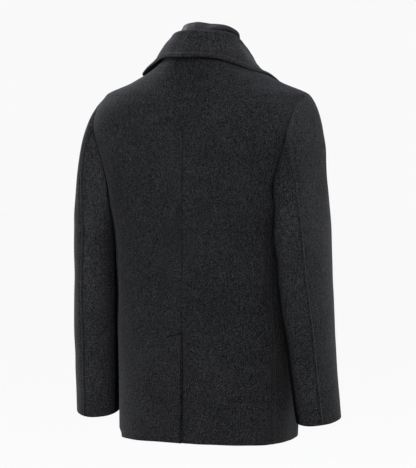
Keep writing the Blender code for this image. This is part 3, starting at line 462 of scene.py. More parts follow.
def tubeFaces(rings, around, base):
    # the faces of a closed tube of rings with so many points around, numbered from base
    faces = []
    for start in range(base, base + (rings - 1) * around, around):
        for k in range(around):
            n = (k + 1) % around
            faces.append((start + k, start + n, start + around + n, start + around + k))
    last = base + (rings - 1) * around
    return faces + [tuple(range(base, base + around))[::-1], tuple(range(last, last + around))]


def tubeMesh(name, points, faces):
    data = bpy.data.meshes.new(name)
    data.from_pydata(points, [], faces)
    data.shade_smooth()
    data.materials.append(threadFinish)
    return data


def stitches(name, lines, settings=thread):
    points, faces = [], []
    for line, normals in lines:
        for stitch in stitchRow(line, normals, settings):
            faces.extend(tubeFaces(len(stitchRings), ringPoints, len(points)))
            points.extend(stitch.tolist())
    return addObject(name, tubeMesh(name, points, faces))


# Finishes


def nodeGroup(name, inputs, outputs):
    made = bpy.data.node_groups.new(name, "ShaderNodeTree")
    for label, kind, value in inputs:
        socket = made.interface.new_socket(name=label, in_out="INPUT", socket_type=kind)
        if value is not None:
            socket.default_value = value
    for label, kind in outputs:
        made.interface.new_socket(name=label, in_out="OUTPUT", socket_type=kind)
    return made, made.nodes.new("NodeGroupInput"), made.nodes.new("NodeGroupOutput")


def setInputs(node, values):
    for label, value in values.items():
        node.inputs[label].default_value = value


def noise(tree, vector, scale, detail, roughness=0.5, distortion=0.0):
    made = tree.nodes.new("ShaderNodeTexNoise")
    tree.links.new(vector, made.inputs["Vector"])
    setInputs(made, {"Scale": scale, "Detail": detail, "Roughness": roughness, "Distortion": distortion})
    return made.outputs[0]


def mathNode(tree, operation, a, b, clamp=False):
    made = tree.nodes.new("ShaderNodeMath")
    made.operation = operation
    made.use_clamp = clamp
    for socket, value in zip(made.inputs, (a, b)):
        if isinstance(value, (int, float)):
            socket.default_value = value
        else:
            tree.links.new(value, socket)
    return made.outputs[0]


def stretched(tree, vector, scales):
    made = tree.nodes.new("ShaderNodeVectorMath")
    made.operation = "MULTIPLY"
    tree.links.new(vector, made.inputs[0])
    made.inputs[1].default_value = scales
    return made.outputs[0]


nap = {  # scale to a metre, detail and roughness of each noise
    "grain": (660.0, 2.0, 0.65), "streak": (430.0, 1.0), "speck": (760.0, 1.0), "broad": (11.0, 2.0),
    "streakStretch": (1.0, 1.0, 0.22),  # combed down the cloth
    "speckFrom": 0.60, "speckTo": 0.74, "speckHeight": 0.4,
}


def meltonNap():
    # the felted face of melton: tufts, faint combed streaks, pale specks and slow changes of tone
    tree, given, out = nodeGroup(
        "meltonNap",
        [("Vector", "NodeSocketVector", None), ("Grain", "NodeSocketFloat", 1.0),
         ("Streak", "NodeSocketFloat", 0.5), ("Broad", "NodeSocketFloat", 0.3)],
        [("Shade", "NodeSocketFloat"), ("Speck", "NodeSocketFloat"), ("Height", "NodeSocketFloat")],
    )
    vector = given.outputs["Vector"]
    combed = stretched(tree, vector, nap["streakStretch"])
    grain, streak = noise(tree, vector, *nap["grain"]), noise(tree, combed, *nap["streak"])
    speck, broad = noise(tree, vector, *nap["speck"]), noise(tree, vector, *nap["broad"])
    shade = 0.5
    for label, fac in (("Grain", grain), ("Streak", streak), ("Broad", broad)):
        part = mathNode(tree, "MULTIPLY", mathNode(tree, "SUBTRACT", fac, 0.5), given.outputs[label])
        shade = mathNode(tree, "ADD", part, shade, clamp=label == "Broad")
    specks = tree.nodes.new("ShaderNodeMapRange")
    setInputs(specks, {"From Min": nap["speckFrom"], "From Max": nap["speckTo"]})
    tree.links.new(speck, specks.inputs["Value"])
    speck = specks.outputs[0]
    height = mathNode(tree, "ADD", grain, mathNode(tree, "MULTIPLY", speck, nap["speckHeight"]))
    for label, value in (("Shade", shade), ("Speck", speck), ("Height", height)):
        tree.links.new(value, out.inputs[label])
    return tree


def newMaterial(name):
    made = bpy.data.materials.new(name)
    made.use_nodes = True
    return made, made.node_tree, made.node_tree.nodes["Principled BSDF"]


def onObject(tree):
    return tree.nodes.new("ShaderNodeTexCoord").outputs["Object"]


def mixed(tree, factor, a, b, blend="MIX"):
    made = tree.nodes.new("ShaderNodeMix")
    made.data_type = "RGBA"
    made.blend_type = blend
    tree.links.new(factor, made.inputs[0])
    tree.links.new(a, made.inputs[6])
    made.inputs[7].default_value = b
    return made.outputs[2]


def ramp(tree, value, stops):
    made = tree.nodes.new("ShaderNodeValToRGB")
    while len(made.color_ramp.elements) < len(stops):
        made.color_ramp.elements.new(0.5)
    for element, (place, colour) in zip(made.color_ramp.elements, stops):
        element.position = place
        element.color = colour
    tree.links.new(value, made.inputs["Fac"])
    return made.outputs["Color"]


def bump(tree, height, strength, distance):
    made = tree.nodes.new("ShaderNodeBump")
    made.inputs["Strength"].default_value = strength
    made.inputs["Distance"].default_value = distance
    tree.links.new(height, made.inputs["Height"])
    return made.outputs["Normal"]


wool = {
    "dark": (0.0008, 0.0008, 0.0010), "mid": (0.0052, 0.0053, 0.0058), "pale": (0.0190, 0.0193, 0.0206),
    "places": ((0.15, "dark"), (0.5, "mid"), (0.9, "pale")),
    "speck": (0.075, 0.076, 0.081), "speckShare": 0.62,
    "seam": (0.04, 0.04, 0.042, 1.0),  # the tone where a deep seam or the painted shade lies darkest, as a share of the cloth's
    "grain": 3.8, "streak": 0.8, "broad": 0.35,
    "roughness": 0.95, "sheen": 0.09, "sheenRoughness": 0.42, "sheenTint": (0.75, 0.77, 0.82, 1.0),
    "bump": (0.80, 0.0008),
}


def woolMaterial(name, tone=1.0, sheen=wool["sheen"], specular=0.05, grain=1.0):
    made, tree, shader = newMaterial(name)
    cloth = tree.nodes.new("ShaderNodeGroup")
    cloth.node_tree = napGroup
    tree.links.new(onObject(tree), cloth.inputs["Vector"])
    setInputs(cloth, {label.capitalize(): wool[label] * grain for label in ("grain", "streak", "broad")})
    tones = {key: tuple(c * tone for c in wool[key]) + (1.0,) for key in ("dark", "mid", "pale", "speck")}
    colour = ramp(tree, cloth.outputs["Shade"], [(at, tones[key]) for at, key in wool["places"]])
    share = mathNode(tree, "MULTIPLY", cloth.outputs["Speck"], wool["speckShare"] * grain)
    colour = mixed(tree, share, colour, tones["speck"])
    # darker along seams and stitches, plus the painted shade held in the seam attribute
    seamAndShadeMask = tree.nodes.new("ShaderNodeAttribute")
    seamAndShadeMask.attribute_name = "seam"
    colour = mixed(tree, seamAndShadeMask.outputs["Fac"], colour, wool["seam"], "MULTIPLY")
    tree.links.new(colour, shader.inputs["Base Color"])
    tree.links.new(bump(tree, cloth.outputs["Height"], *wool["bump"]), shader.inputs["Normal"])
    setInputs(shader, {
        "Roughness": wool["roughness"], "Specular IOR Level": specular, "Sheen Weight": sheen,
        "Sheen Roughness": wool["sheenRoughness"], "Sheen Tint": wool["sheenTint"]})
    return made


# finishes of two tones; the noise between them has a scale, detail, roughness and distortion, and a bump has a
# strength and a depth
leather = {
    "noise": (60.0, 3.0), "dark": (0.3, (0.0090, 0.0078, 0.0110, 1.0)),
    "pale": (0.7, (0.0175, 0.0155, 0.0215, 1.0)),
    "cells": 900.0, "bump": (0.25, 0.0002), "roughness": 0.44, "specular": 0.17,
}
horn = {
    "noise": (55.0, 4.0, 0.6, 1.2), "dark": (0.42, (0.006, 0.006, 0.007, 1.0)),
    "pale": (0.72, (0.030, 0.027, 0.026, 1.0)), "bump": (0.06, 0.0003), "roughness": 0.28, "specular": 0.5,
}
yarn = {
    "noise": (1500.0, 1.0), "dark": (0.3, (0.008, 0.008, 0.010, 1.0)), "pale": (0.7, (0.022, 0.022, 0.026, 1.0)),
    "roughness": 0.6, "specular": 0.5,
}


def twoToned(name, look):
    made, tree, shader = newMaterial(name)
    place = onObject(tree)
    relief = noise(tree, place, *look["noise"])
    tree.links.new(ramp(tree, relief, [look["dark"], look["pale"]]), shader.inputs["Base Color"])
    if "cells" in look:
        cells = tree.nodes.new("ShaderNodeTexVoronoi")
        cells.inputs["Scale"].default_value = look["cells"]
        tree.links.new(place, cells.inputs["Vector"])
        relief = cells.outputs["Distance"]
    if "bump" in look:
        tree.links.new(bump(tree, relief, *look["bump"]), shader.inputs["Normal"])
    setInputs(shader, {"Roughness": look["roughness"], "Specular IOR Level": look["specular"]})
    return made


napGroup = meltonNap()
woolBody = woolMaterial("charcoalMelton")
# painted light: the sleeves, under sleeves and collar are lighter copies of the same wool, toned up for the
# light they catch; the under sleeves, which have no sheen, more so, and the left one most
woolSleeve = woolMaterial("charcoalMeltonSleeve", tone=1.32)
woolUnder = {
    1: woolMaterial("charcoalMeltonUnderLeft", tone=2.05, sheen=0.01, specular=0.0, grain=0.66),
    -1: woolMaterial("charcoalMeltonUnderRight", tone=1.50, sheen=0.01, specular=0.0, grain=0.80),
}
woolCollar = woolMaterial("charcoalMeltonCollar", tone=1.27)
leatherFinish, hornFinish = twoToned("smoothLeather", leather), twoToned("darkHorn", horn)
threadFinish = twoToned("sewingThread", yarn)
print("finishes made")


# Body panels

panel = {
    "hemRows": (0.0, 0.0007, 0.0015, 0.0026, 0.0042, 0.007, 0.011, 0.016, 0.022, 0.030),
    "skirtRows": 72, "backArmRows": 60, "frontArmRows": 90, "shoulderRows": 26, "shoulderLength": 0.16,
    "backMiddle": 40, "frontMiddle": 64,
    "turnedHem": (0.0016, 0.040),  # extra cloth inside, and how far up
    "drape": 0.0007, "sway": 0.00022,
    "levelTurn": 12.0,  # the hem's sway fades this near the vent and the front edge
    # how deep each seam is pressed, and how dark; the centre seam shows from this height down
    "sideSeam": (1.0, 0.55), "shoulderSeam": (0.6, 0.3), "neckSeam": (0.6, 0.3), "gorgeSeam": (1.0, 0.5),
    "centreSeam": (0.55, 0.62), "centreSeamFrom": (-0.085, 0.06),
    "sideStitch": 0.0103, "sideStitchTone": 0.4, "edgeStitch": 0.0067,
    "overlapTurn": (124.0, 18.0), "frontEndTurn": 150.0,
    "ventFlare": 0.0030, "ventFlareWidth": 0.030, "ventFlareLength": 0.16,
    "ventStitch": (0.0008, 0.033), "ventStitchDrop": (0.0012, 0.0090), "ventStitchDepth": 0.0009,
    "ventStitchWidth": 0.0014, "ventStitchColumns": tuple(0.0132 + 0.0012 * i for i in range(19)),
    "slitWidth": {1: 0.0015, -1: 0.0036},  # how far the painted shadow along the vent's slit reaches on each panel
    # the right panel's columns as it sinks under the left one from here, and on its lap
    "sinkFrom": 0.009, "sinkColumns": (0.0, 0.15, 0.3, 0.45, 0.6, 0.72, 0.82, 0.9, 0.96),
    "lapColumns": (0.0, 0.1, 0.3, 0.6, 0.9, 0.97, 1.0),
}


def skirtShares():
    # rows from hem to underarm, close together at the hem and at the vent's top
    reach = coat["underarmLevel"] - coat["hemBack"]
    vent = (coat["ventTop"] - coat["hemBack"] + np.arange(-0.014, 0.0121, 0.001)) / reach
    hem = np.array(panel["hemRows"]) / reach
    plain = np.linspace(hem[-1], 1.0, panel["skirtRows"])
    plain = plain[(plain < vent[0] - 0.005) | (plain > vent[-1] + 0.005)]
    return np.unique(np.concatenate([hem[:-1], plain, vent]))


def hemHeight(turn):
    return lerp(coat["hemBack"], coat["hemFront"], ((1 - np.cos(np.radians(turn))) / 2) ** coat["hemLow"])


def sideSeamRows(share):
    topHeight, topTurn = armhole(sideSeamStep * armStep)
    heights = lerp(hemHeight(sideSeam[0].turn), topHeight, share)
    turns = table(sideSeam, "turn", heights)
    return heights, turns + (topTurn - turns[-1]) * above(share, 0.6, 0.4)


def shoulderShares():
    t = np.linspace(0.0, 1.0, panel["shoulderRows"] + 1)[1:]
    return np.unique(np.concatenate([t[t < 0.95], 1 - np.array(plainEdge) / panel["shoulderLength"]]))


def outerSide(lastStep, armRows):
    # the side of a panel: rows up its side seam, round the armhole to a step, and along the shoulder seam
    share, top = skirtShares(), shoulderShares()
    steps = np.linspace(sideSeamStep, lastStep, armRows + 1)[1:]
    seamHeights, seamTurns = sideSeamRows(share)
    armHeights, armTurns = armhole(steps * armStep)
    turn = np.concatenate([seamTurns, armTurns, np.full(len(top), 90.0)])
    height = np.concatenate([seamHeights, armHeights, lerp(coat["shoulderTip"], coat["neckSide"], top)])
    return share, steps, top, turn, height


def shiftedTurn(turn, height, distance):
    length = np.linalg.norm(bodyForm(turn + 0.5, height) - bodyForm(turn - 0.5, height), axis=-1)
    return turn + distance / length


def panelGrid(outerTurn, outerHeight, innerTurn, innerHeight, columns, base=None):
    # rows from a panel's outer side to its inner one, as if they started at base, then bent to where they do
    base = outerHeight if base is None else base

    def rowsAt(share):
        outer, inner = np.stack([outerTurn, base])[..., None], np.stack([innerTurn, innerHeight])[..., None]
        return lerp(outer, inner, share)

    line = bodyForm(*rowsAt(np.linspace(0.0, 1.0, 25)))
    across = spread(np.linalg.norm(np.diff(line, axis=1), axis=-1).sum(1), *columns)
    turn, height = rowsAt(across)
    bend = np.clip(1 - across / 0.25, 0.0, 1.0) ** 2
    return turn, height + (outerHeight - base)[:, None] * bend


def drape(turn, height):
    # slow unevenness that pressed wool keeps
    a, z = np.radians(turn), height
    slow = np.sin(5 * a + 9 * z) * np.sin(21 * z + 1.3)
    quick = np.sin(11 * a - 14 * z + 0.7) * np.sin(33 * z)
    return panel["drape"] * (slow + 0.6 * quick)


def hemSway(turn, away):
    # hems and cuffs never hang quite level
    a = np.radians(turn)
    return panel["sway"] * (np.sin(9 * a + 0.4) + 0.8 * np.sin(17 * a + 2.0)) * below(away, 0.05, 0.05)


def turnedWall(away, thicker, turned):
    # the cloth's wall, thicker on the inside where its edge is turned up
    return coat["cloth"] + thicker * below(away, turned, 0.006)


armholeSeamAndShade = {
    # pressed flat over the shoulder and sunk in lower down; its dark tone is painted shade, faint over the
    # shoulder and deep lower down where the sleeve shades the body; and painted shade in the armpit
    "tone": 0.10, "further": 0.80, "from": (-0.120, 0.160),
    "armpit": 0.85, "armpitWidth": 0.0045, "armpitFrom": (-0.215, 0.085),
}


# how deep and how dark the armhole seam lies; the darkness lower down is painted shade
def armholeTone(height):
    return armholeSeamAndShade["tone"] + armholeSeamAndShade["further"] * below(height, *armholeSeamAndShade["from"])


# painted shade beside the armhole, low in the armpit
def armpitShade(away, height):
    tone = armholeSeamAndShade["armpit"] * hump(away / armholeSeamAndShade["armpitWidth"])
    return tone * below(height, *armholeSeamAndShade["armpitFrom"])


def seamLines(points, share, steps):
    # a panel's side seam, armhole and shoulder seam
    arm, shoulder = len(share) - 1, len(share) - 1 + len(steps)
    return points[:arm + 1, 0], points[arm:shoulder + 1, 0], points[shoulder:, 0]


def sewnSeams(points, seams):
    # what seams press into the cloth, and how dark they make it
    dips, shades = 0.0, 0.0
    for line, depth, tone in seams:
        dips = dips + seamDip(points, line) * depth
        shades = shades + seamShade(awayFrom(points, line)) * tone
    return dips, shades


def panelShell(name, side, turn, height, lift, sway, free, shades):
    hem = hemHeight(turn)
    outside = onBody(side * turn, height, lift)
    inside = onBody(side * turn, height, lift - turnedWall(height - hem, *panel["turnedHem"]))
    for face in (outside, inside):
        face[..., 2] += hemSway(side * turn, height - hem) * sway
    return clothShell(name, outside, inside, woolBody, (1, 0, 0, free), shades), outside


def underLap(turn, height, centreHeight):
    # the right panel sinks under the left one and goes on past the centre as the vent's lap
    keep, edge, edgeHeight = turn[:, :-len(sewnEdge)], turn[:, -1:], height[:, -1:]
    inner = shiftedTurn(edge, edgeHeight, panel["sinkFrom"])
    past = shiftedTurn(0.0, edgeHeight, -coat["ventLap"])
    sunk, crossed = (below(centreHeight, coat["ventTop"] + up, 0.008)[:, None] for up in (0.010, 0.0))
    nearing = [lerp(inner, edge, t) for t in panel["sinkColumns"]]
    beyond = [lerp(edge, past, t * crossed) for t in panel["lapColumns"]]
    heights = [height[:, :keep.shape[1]]] + [edgeHeight] * len(nearing + beyond)
    sinking = [0 * keep] + [sunk * smooth(t) for t in np.linspace(0.0, 1.0, len(nearing))]
    sinking += [sunk] * len(beyond)
    return [np.concatenate(parts, 1) for parts in ([keep] + nearing + beyond, heights, sinking)] + [crossed]


def backPanel(side, word):
    share, steps, top, outerTurn, outerHeight = outerSide(0, panel["backArmRows"])
    centreHeight = np.concatenate([
        lerp(coat["hemBack"], coat["underarmLevel"], share),
        lerp(coat["underarmLevel"], coat["backYoke"], 1 - steps / sideSeamStep),
        lerp(coat["backYoke"], coat["neckBack"], top),
    ])
    centreEdge = sewnEdge + panel["ventStitchColumns"] if side > 0 else sewnEdge
    columns = plainEdge, panel["backMiddle"], centreEdge
    turn, height = panelGrid(outerTurn, outerHeight, 0 * outerTurn, centreHeight, columns)
    if side > 0:
        centre, free = -1, below(centreHeight, coat["ventTop"], 0.004)[:, None]
        flare = hump(bodyForm(turn, height)[..., 0] / panel["ventFlareWidth"])
        lift = panel["ventFlare"] * flare * below(height, coat["ventTop"], panel["ventFlareLength"])
    else:
        centre = -len(panel["lapColumns"])
        turn, height, sinking, free = underLap(turn, height, centreHeight)
        lift = -(coat["cloth"] + coat["lapGap"]) * sinking
    lift = lift + drape(side * turn, height)
    base = onBody(side * turn, height, lift)
    sideLine, armLine, topLine = seamLines(base, share, steps)
    ventRow = int(np.searchsorted(centreHeight, coat["ventTop"] + 0.002))
    # the armhole seam's tone is painted shade lower down
    armTone, (centreDepth, centreTone) = armholeTone(height), panel["centreSeam"]
    dips, shades = sewnSeams(base, (
        (sideLine, *panel["sideSeam"]), (armLine, armTone, armTone), (topLine, *panel["shoulderSeam"]),
        (base[ventRow:, centre], centreDepth, centreTone * below(height, *panel["centreSeamFrom"])),
        (base[-1], *panel["neckSeam"])))
    # painted shade in the armpit
    shades = shades + armpitShade(awayFrom(base, armLine), height)
    # painted shadow along the vent's slit
    shades = shades + hump(awayFrom(base, base[:ventRow, centre]) / panel["slitWidth"][side])
    if side > 0:  # the slanted row that holds the top of the vent
        t = np.linspace(0.0, 1.0, 40)
        x, drop = lerp(*panel["ventStitch"], t), lerp(*panel["ventStitchDrop"], t)
        row = onBody(shiftedTurn(0.0, coat["ventTop"], x), coat["ventTop"] - drop)
        pressed = hump(awayFrom(base, row) / panel["ventStitchWidth"])
        dips, shades = dips - panel["ventStitchDepth"] * pressed, shades + pressed
    name, sway = "back_" + word, above(np.abs(turn), 0.0, panel["levelTurn"])
    made, _ = panelShell(name + "_cloth", side, turn, height, lift + dips, sway, free, shades)
    dress(made, name)


def overlapLift(side, turn, height):
    # the left front lies over the right one, and higher up over its lapel as well
    lapelUnder = (coat["doubleCloth"] + coat["frontGap"]) * above(height, coat["breakHeight"] - 0.045, 0.035)
    lift = (coat["cloth"] + coat["frontGap"] + lapelUnder) * above(turn, *panel["overlapTurn"])
    return (side > 0) * lift * below(height, coat["crossing"] + 0.060, 0.050)


def outward(grid):
    # the normals of a grid of points, turned to face away from the body's middle
    normals = unit(np.cross(np.gradient(grid, axis=0), np.gradient(grid, axis=1)))
    return normals * np.sign((grid * normals * levelled).sum(-1))[..., None]


def frontPanel(side, word):
    share, steps, top, outerTurn, outerHeight = outerSide(armSteps, panel["frontArmRows"])
    # the rows start evenly from the hem to just under the armhole, with the lowest two of its steps
    base, low = outerHeight.copy(), steps[steps <= sideSeamStep + 2] - sideSeamStep
    ease = np.concatenate([share * 12, 12 + low]) / 14
    base[:len(ease)] = lerp(base[0], coat["armholeBottom"] - 0.006, ease)
    innerHeight = np.concatenate([
        lerp(coat["hemFront"], coat["breakHeight"], share),
        lerp(coat["breakHeight"], coat["frontYoke"], (steps - sideSeamStep) / (armSteps - sideSeamStep)),
        lerp(coat["frontYoke"], coat["gorgeHeight"], top),
    ])
    edge = np.where(innerHeight <= coat["breakHeight"], -coat["wrap"], rollX(innerHeight))
    innerTurn, columns = frontTurn(edge, innerHeight), (lapEdge, panel["frontMiddle"], sewnEdge)
    turn, height = panelGrid(outerTurn, outerHeight, innerTurn, innerHeight, columns, base)
    lift = drape(side * turn, height) + overlapLift(side, turn, height)
    flat = onBody(side * turn, height, lift)
    sideLine, armLine, topLine = seamLines(flat, share, steps)
    # the armhole seam's tone is painted shade lower down
    armTone, skirt = armholeTone(height), slice(0, len(share))
    dips, shades = sewnSeams(flat, (
        (sideLine, *panel["sideSeam"]), (armLine, armTone, armTone), (topLine, *panel["shoulderSeam"]),
        (flat[-1], *panel["gorgeSeam"])))
    for line, away in ((sideLine, panel["sideStitch"]), (flat[skirt, -1], panel["edgeStitch"])):
        dips = dips + stitchDip(flat, line, away)
    stitched = seamShade(awayFrom(flat, sideLine) - panel["sideStitch"], 0.0010)
    shades = shades + panel["sideStitchTone"] * stitched
    name, sway = "front_" + word, below(turn, panel["frontEndTurn"], panel["levelTurn"])
    free = (innerHeight <= coat["breakHeight"] + 0.002).astype(float)[:, None]
    made, outside = panelShell(name + "_cloth", side, turn, height, lift + dips, sway, free, shades)
    columns = lapEdge.index(panel["sideStitch"]), -1 - sewnEdge.index(panel["edgeStitch"])
    ups = outward(outside)
    lines = [(outside[skirt, column], ups[skirt, column]) for column in columns]
    sewing = stitches(name + "_stitches", lines)
    dress(made, name, [sewing])


for side, word in sides:
    backPanel(side, word)
    frontPanel(side, word)
print("body panels made")


# Sleeves

sleeve = {
    "capRows": 52, "tubeRows": 70, "topSteps": 44, "underSteps": 40,
    # how the cap leaves the armhole: outwards at the foot and the top, to the back and front, and how hard
    "capAwayFoot": 0.10, "capAwayTop": 0.52, "capSpreadBack": 0.70, "capSpreadFront": -0.90,
    "capPullStart": 0.78, "capPullEnd": 0.80,
    "capNear": (0.0, 0.004, 0.008, 0.013, 0.019, 0.026, 0.034, 0.044),  # the first rows of the cap
    "rightArmRaised": 0.0035, "rightCreaseDrop": 0.012,
    "cuff": {1: (1.0, 112.0), -1: (0.72, 90.0)},  # how much the cuffs hang to the back, and where lowest
    "armholeGap": 0.0005, "foreSeamTurn": -126.0, "stepLength": 0.020,
    "headPuff": 0.0010,  # the sleeve head's roll beside the armhole seam
    # painted shade on the arm's inner side from this turn on, over so many degrees
    "shade": {1: (166.0, 12.0), -1: (110.0, 9.0)}, "softShade": (-22.0, 26.0), "shadeFrom": (-0.200, 0.06),
    "earlier": (8.0, -0.325, 0.035),  # so many degrees earlier round this height
    "hindTone": 0.34, "hindToneFrom": (-0.155, 0.06), "foreTone": 0.6, "stitchTone": 0.26,
    "stitchAway": 0.0055, "threadAway": 0.0052,  # topstitching beside the back seam, and its thread
    "turnedCuff": (0.0016, 0.035), "cuffSway": 1.2,
}


def sleeveRing(turn, height, tilt=1.0, lowest=90.0):
    angle = np.radians(turn)
    out, middle = table(sleeveRings, "out", height), table(sleeveRings, "middle", height)
    x = out + table(sleeveRings, "halfWidth", height) * np.cos(angle)
    y = middle + table(sleeveRings, "halfDepth", height) * np.sin(angle)
    z = height - tilt * table(sleeveRings, "tip", height) * np.cos(angle - np.radians(lowest))
    return np.stack(np.broadcast_arrays(x, y, z), -1)


def creaseRise(side, turn, height):
    rise = np.zeros(np.broadcast(turn, height).shape)
    for crease in sleeveCreases + sleeveFullness:
        awayTurn = (turn - crease.turn + 180.0) % 360.0 - 180.0
        line = crease.height + crease.climb * awayTurn / crease.spread - sleeve["rightCreaseDrop"] * (side < 0)
        rise = rise + crease.rise * hump(awayTurn / crease.spread) * hump((height - line) / crease.width)
    return rise


def sleeveSteps():
    # steps round the arm, close together on both sides of the two seams
    close = np.array(sewnEdge) / sleeve["stepLength"]
    parts = []
    for first, last, middle in (
            (foreSeamStep - armSteps, hindSeamStep, sleeve["topSteps"]),
            (hindSeamStep, foreSeamStep, sleeve["underSteps"])):
        even = np.linspace(first + close[-1], last - close[-1], middle + 2)[1:-1]
        parts.append(np.concatenate([first + close, even, last - close[::-1]]))
    top, under = parts
    return np.concatenate([top, under[1:]]), len(top) - 1


def sleeveForm(side):
    steps, seamColumn = sleeveSteps()
    armTurn, angle = steps * armStep, np.radians(steps * armStep)
    armHeight, armBodyTurn = armhole(armTurn)
    offBody = bodyNormal(armBodyTurn, armHeight)
    start = bodyForm(armBodyTurn, armHeight) + np.array([sleeve["armholeGap"], 0.0, 0.0])
    start = start + offBody * foldRise(side * armBodyTurn, armHeight)[:, None]
    top, foot = max(sleeveRings).height, min(sleeveRings).height
    cuff = np.array(panel["hemRows"])
    plain = np.linspace(top, foot + cuff[-1], sleeve["tubeRows"])[:-1]
    heights = np.concatenate([plain, foot + cuff[::-1]])
    hind, fore = table(hindSeam, "left" if side > 0 else "right", heights)[:, None], sleeve["foreSeamTurn"]
    beforeHind = lerp(fore, hind, ((steps - steps[0]) / (hindSeamStep - steps[0]))[None])
    pastHind = lerp(hind, fore + 360.0, ((steps - hindSeamStep) / (steps[-1] - hindSeamStep))[None])
    tubeTurn = np.where(steps[None] <= hindSeamStep, beforeHind, pastHind)
    tube = sleeveRing(tubeTurn, heights[:, None], *sleeve["cuff"][side])
    if side < 0:
        tube[..., 2] += sleeve["rightArmRaised"] * below(heights, top, top - foot)[:, None]
    # the cap: curves from the armhole into the first ring
    away = lerp(sleeve["capAwayFoot"], sleeve["capAwayTop"], (1 + np.cos(angle)) / 2)
    opened = np.where(np.sin(angle) > 0, sleeve["capSpreadBack"], sleeve["capSpreadFront"])
    opened = opened * np.sin(angle) * np.cos(angle / 2) ** 2
    leave = unit(np.stack([away, opened, -0.55 - 0.45 * (1 - np.cos(angle)) / 2], -1))
    down = unit(sleeveRing(tubeTurn[0], top - 0.029) - sleeveRing(tubeTurn[0], top))
    length = np.linalg.norm(tube[0] - start, axis=-1)[:, None]
    t = np.concatenate([sleeve["capNear"], np.linspace(0.056, 1.0, sleeve["capRows"])[:-1]])[:, None, None]
    leave, down = length * sleeve["capPullStart"] * leave, length * sleeve["capPullEnd"] * down
    cap = hermite(start, leave, tube[0], down, t)
    points = np.concatenate([cap, tube])
    turns = np.concatenate([lerp(armTurn, tubeTurn[0], t[..., 0]), tubeTurn])
    around = np.roll(points[:, :-1], -1, axis=1) - np.roll(points[:, :-1], 1, axis=1)
    around = np.concatenate([around, around[:, :1]], axis=1)
    fall = np.concatenate([[0.0], np.cumsum(np.linalg.norm(np.diff(points, axis=0), axis=-1).mean(1))])
    normal = unit(np.cross(np.gradient(points, fall, axis=0), around))
    normal = unit(normal + offBody * np.exp(-fall / 0.012)[:, None, None])
    z = points[..., 2]
    wave = 0.0003 * np.sin(np.radians(turns) * 3 + z * 31) * np.sin(z * 47 + 1.0)
    rise = (creaseRise(side, turns, z) + wave) * above(fall, 0.004, 0.10)[:, None]
    return points + normal * rise[..., None], normal, turns, seamColumn


# painted shade on the arm's inner side, where it turns away towards the body
def innerShade(side, turn, height):
    (start, reach), (earlier, middle, width) = sleeve["shade"][side], sleeve["earlier"]
    past = turn - start + earlier * hump((height - middle) / width)
    inner = 0.7 * above(past, 0.0, reach) + 0.3 * above(past, *sleeve["softShade"])
    return inner * below(height, *sleeve["shadeFrom"])


def sleevePieces(side, word):
    points, normal, turns, seamColumn = sleeveForm(side)
    mirror = np.array([side, 1.0, 1.0])
    armLine, hindLine, foreLine = points[0], points[:, seamColumn], points[:, 0]
    for kind, cut, columns, material in (
            ("top_sleeve_", "topSleeve", slice(0, seamColumn + 1), woolSleeve),
            ("under_sleeve_", "underSleeve", slice(seamColumn, None), woolUnder[side])):
        face, way, turn = points[:, columns], normal[:, columns], turns[:, columns]
        z, isTop = face[..., 2], kind == "top_sleeve_"
        armAway, hindAway, foreAway = (awayFrom(face, line) for line in (armLine, hindLine, foreLine))
        head = hump((armAway - 0.009) / 0.006) * above(face[..., 1], -0.01, 0.04)
        dips = seamDip(face, hindLine) + seamDip(face, foreLine) + sleeve["headPuff"] * head
        dips = dips - 0.8 * seam["depth"] * hump(armAway / seam["width"]) * armholeTone(z)
        # painted shade along the armhole's lower part, in the armpit and on the arm's inner side; darker along
        # the seams
        shades = (
            seamShade(armAway) * armholeTone(z) + armpitShade(armAway, z) + innerShade(side, turn, z)
            + sleeve["hindTone"] * seamShade(hindAway) * below(z, *sleeve["hindToneFrom"])
            + sleeve["foreTone"] * seamShade(foreAway)
        )
        if isTop:
            dips = dips + stitchDip(face, hindLine, sleeve["stitchAway"])
            shades = shades + sleeve["stitchTone"] * seamShade(hindAway - sleeve["stitchAway"], 0.0010)
        outside = face + way * dips[..., None]
        toCuff = np.linalg.norm(outside - outside[-1], axis=-1)
        inside = outside - way * turnedWall(toCuff, *sleeve["turnedCuff"])[..., None]
        for layer in (outside, inside):
            layer[..., 2] += sleeve["cuffSway"] * hemSway(turn / 3, toCuff)
        outside, inside, way, name = outside * mirror, inside * mirror, way * mirror, kind + word
        made = clothShell(name + "_cloth", outside, inside, material, (0, 1, 0, 0), shades)
        sewing = []
        if isTop:
            threaded = slice(6, None), -1 - sewnEdge.index(sleeve["threadAway"])
            sewing = [stitches(name + "_stitches", [(outside[threaded], way[threaded])])]
        dress(made, name, sewing)


for side, word in sides:
    sleevePieces(side, word)
print("sleeves made")


# Collar and lapels

turndown = {
    "rollRadius": 0.0062, "shift": -0.011, "lean": -0.080,
    # where the leaf stands out: side, middle height, spread, how far, which way, and from which depth
    "settled": (
        (-1, -0.002, 0.024, 0.0080, (-0.95, -0.31), -0.075),
        (1, -0.036, 0.018, 0.0070, (0.88, 0.47), -0.030), (1, -0.006, 0.014, 0.0045, (0.88, 0.47), -0.030)),
    "rightDrop": 0.0050,  # the roll lies this much lower on the right
    "rightEndIn": 0.0080,  # and the leaf's end on the shoulder this much further in
    "notchX": 0.113, "notchHeight": -0.082, "tipX": 0.151, "tipHeight": -0.101,
    "gorgeLeaf": (0.062, 0.038), "gorgeLength": 0.045,  # how wide the leaf is at the neck and the notch
    "stations": 84, "openingStations": 14, "standSteps": 10, "rollSteps": 16, "leafMiddle": 22,
    "standEndTurn": 120.0, "standEndSteps": (0.2, 0.4, 0.6),
    "stitchAway": 0.0082,
}
standSeam = turndown["standSteps"] + turndown["rollSteps"] // 4  # where the collar is sewn to its stand
leafFrom = turndown["standSteps"] + turndown["rollSteps"]
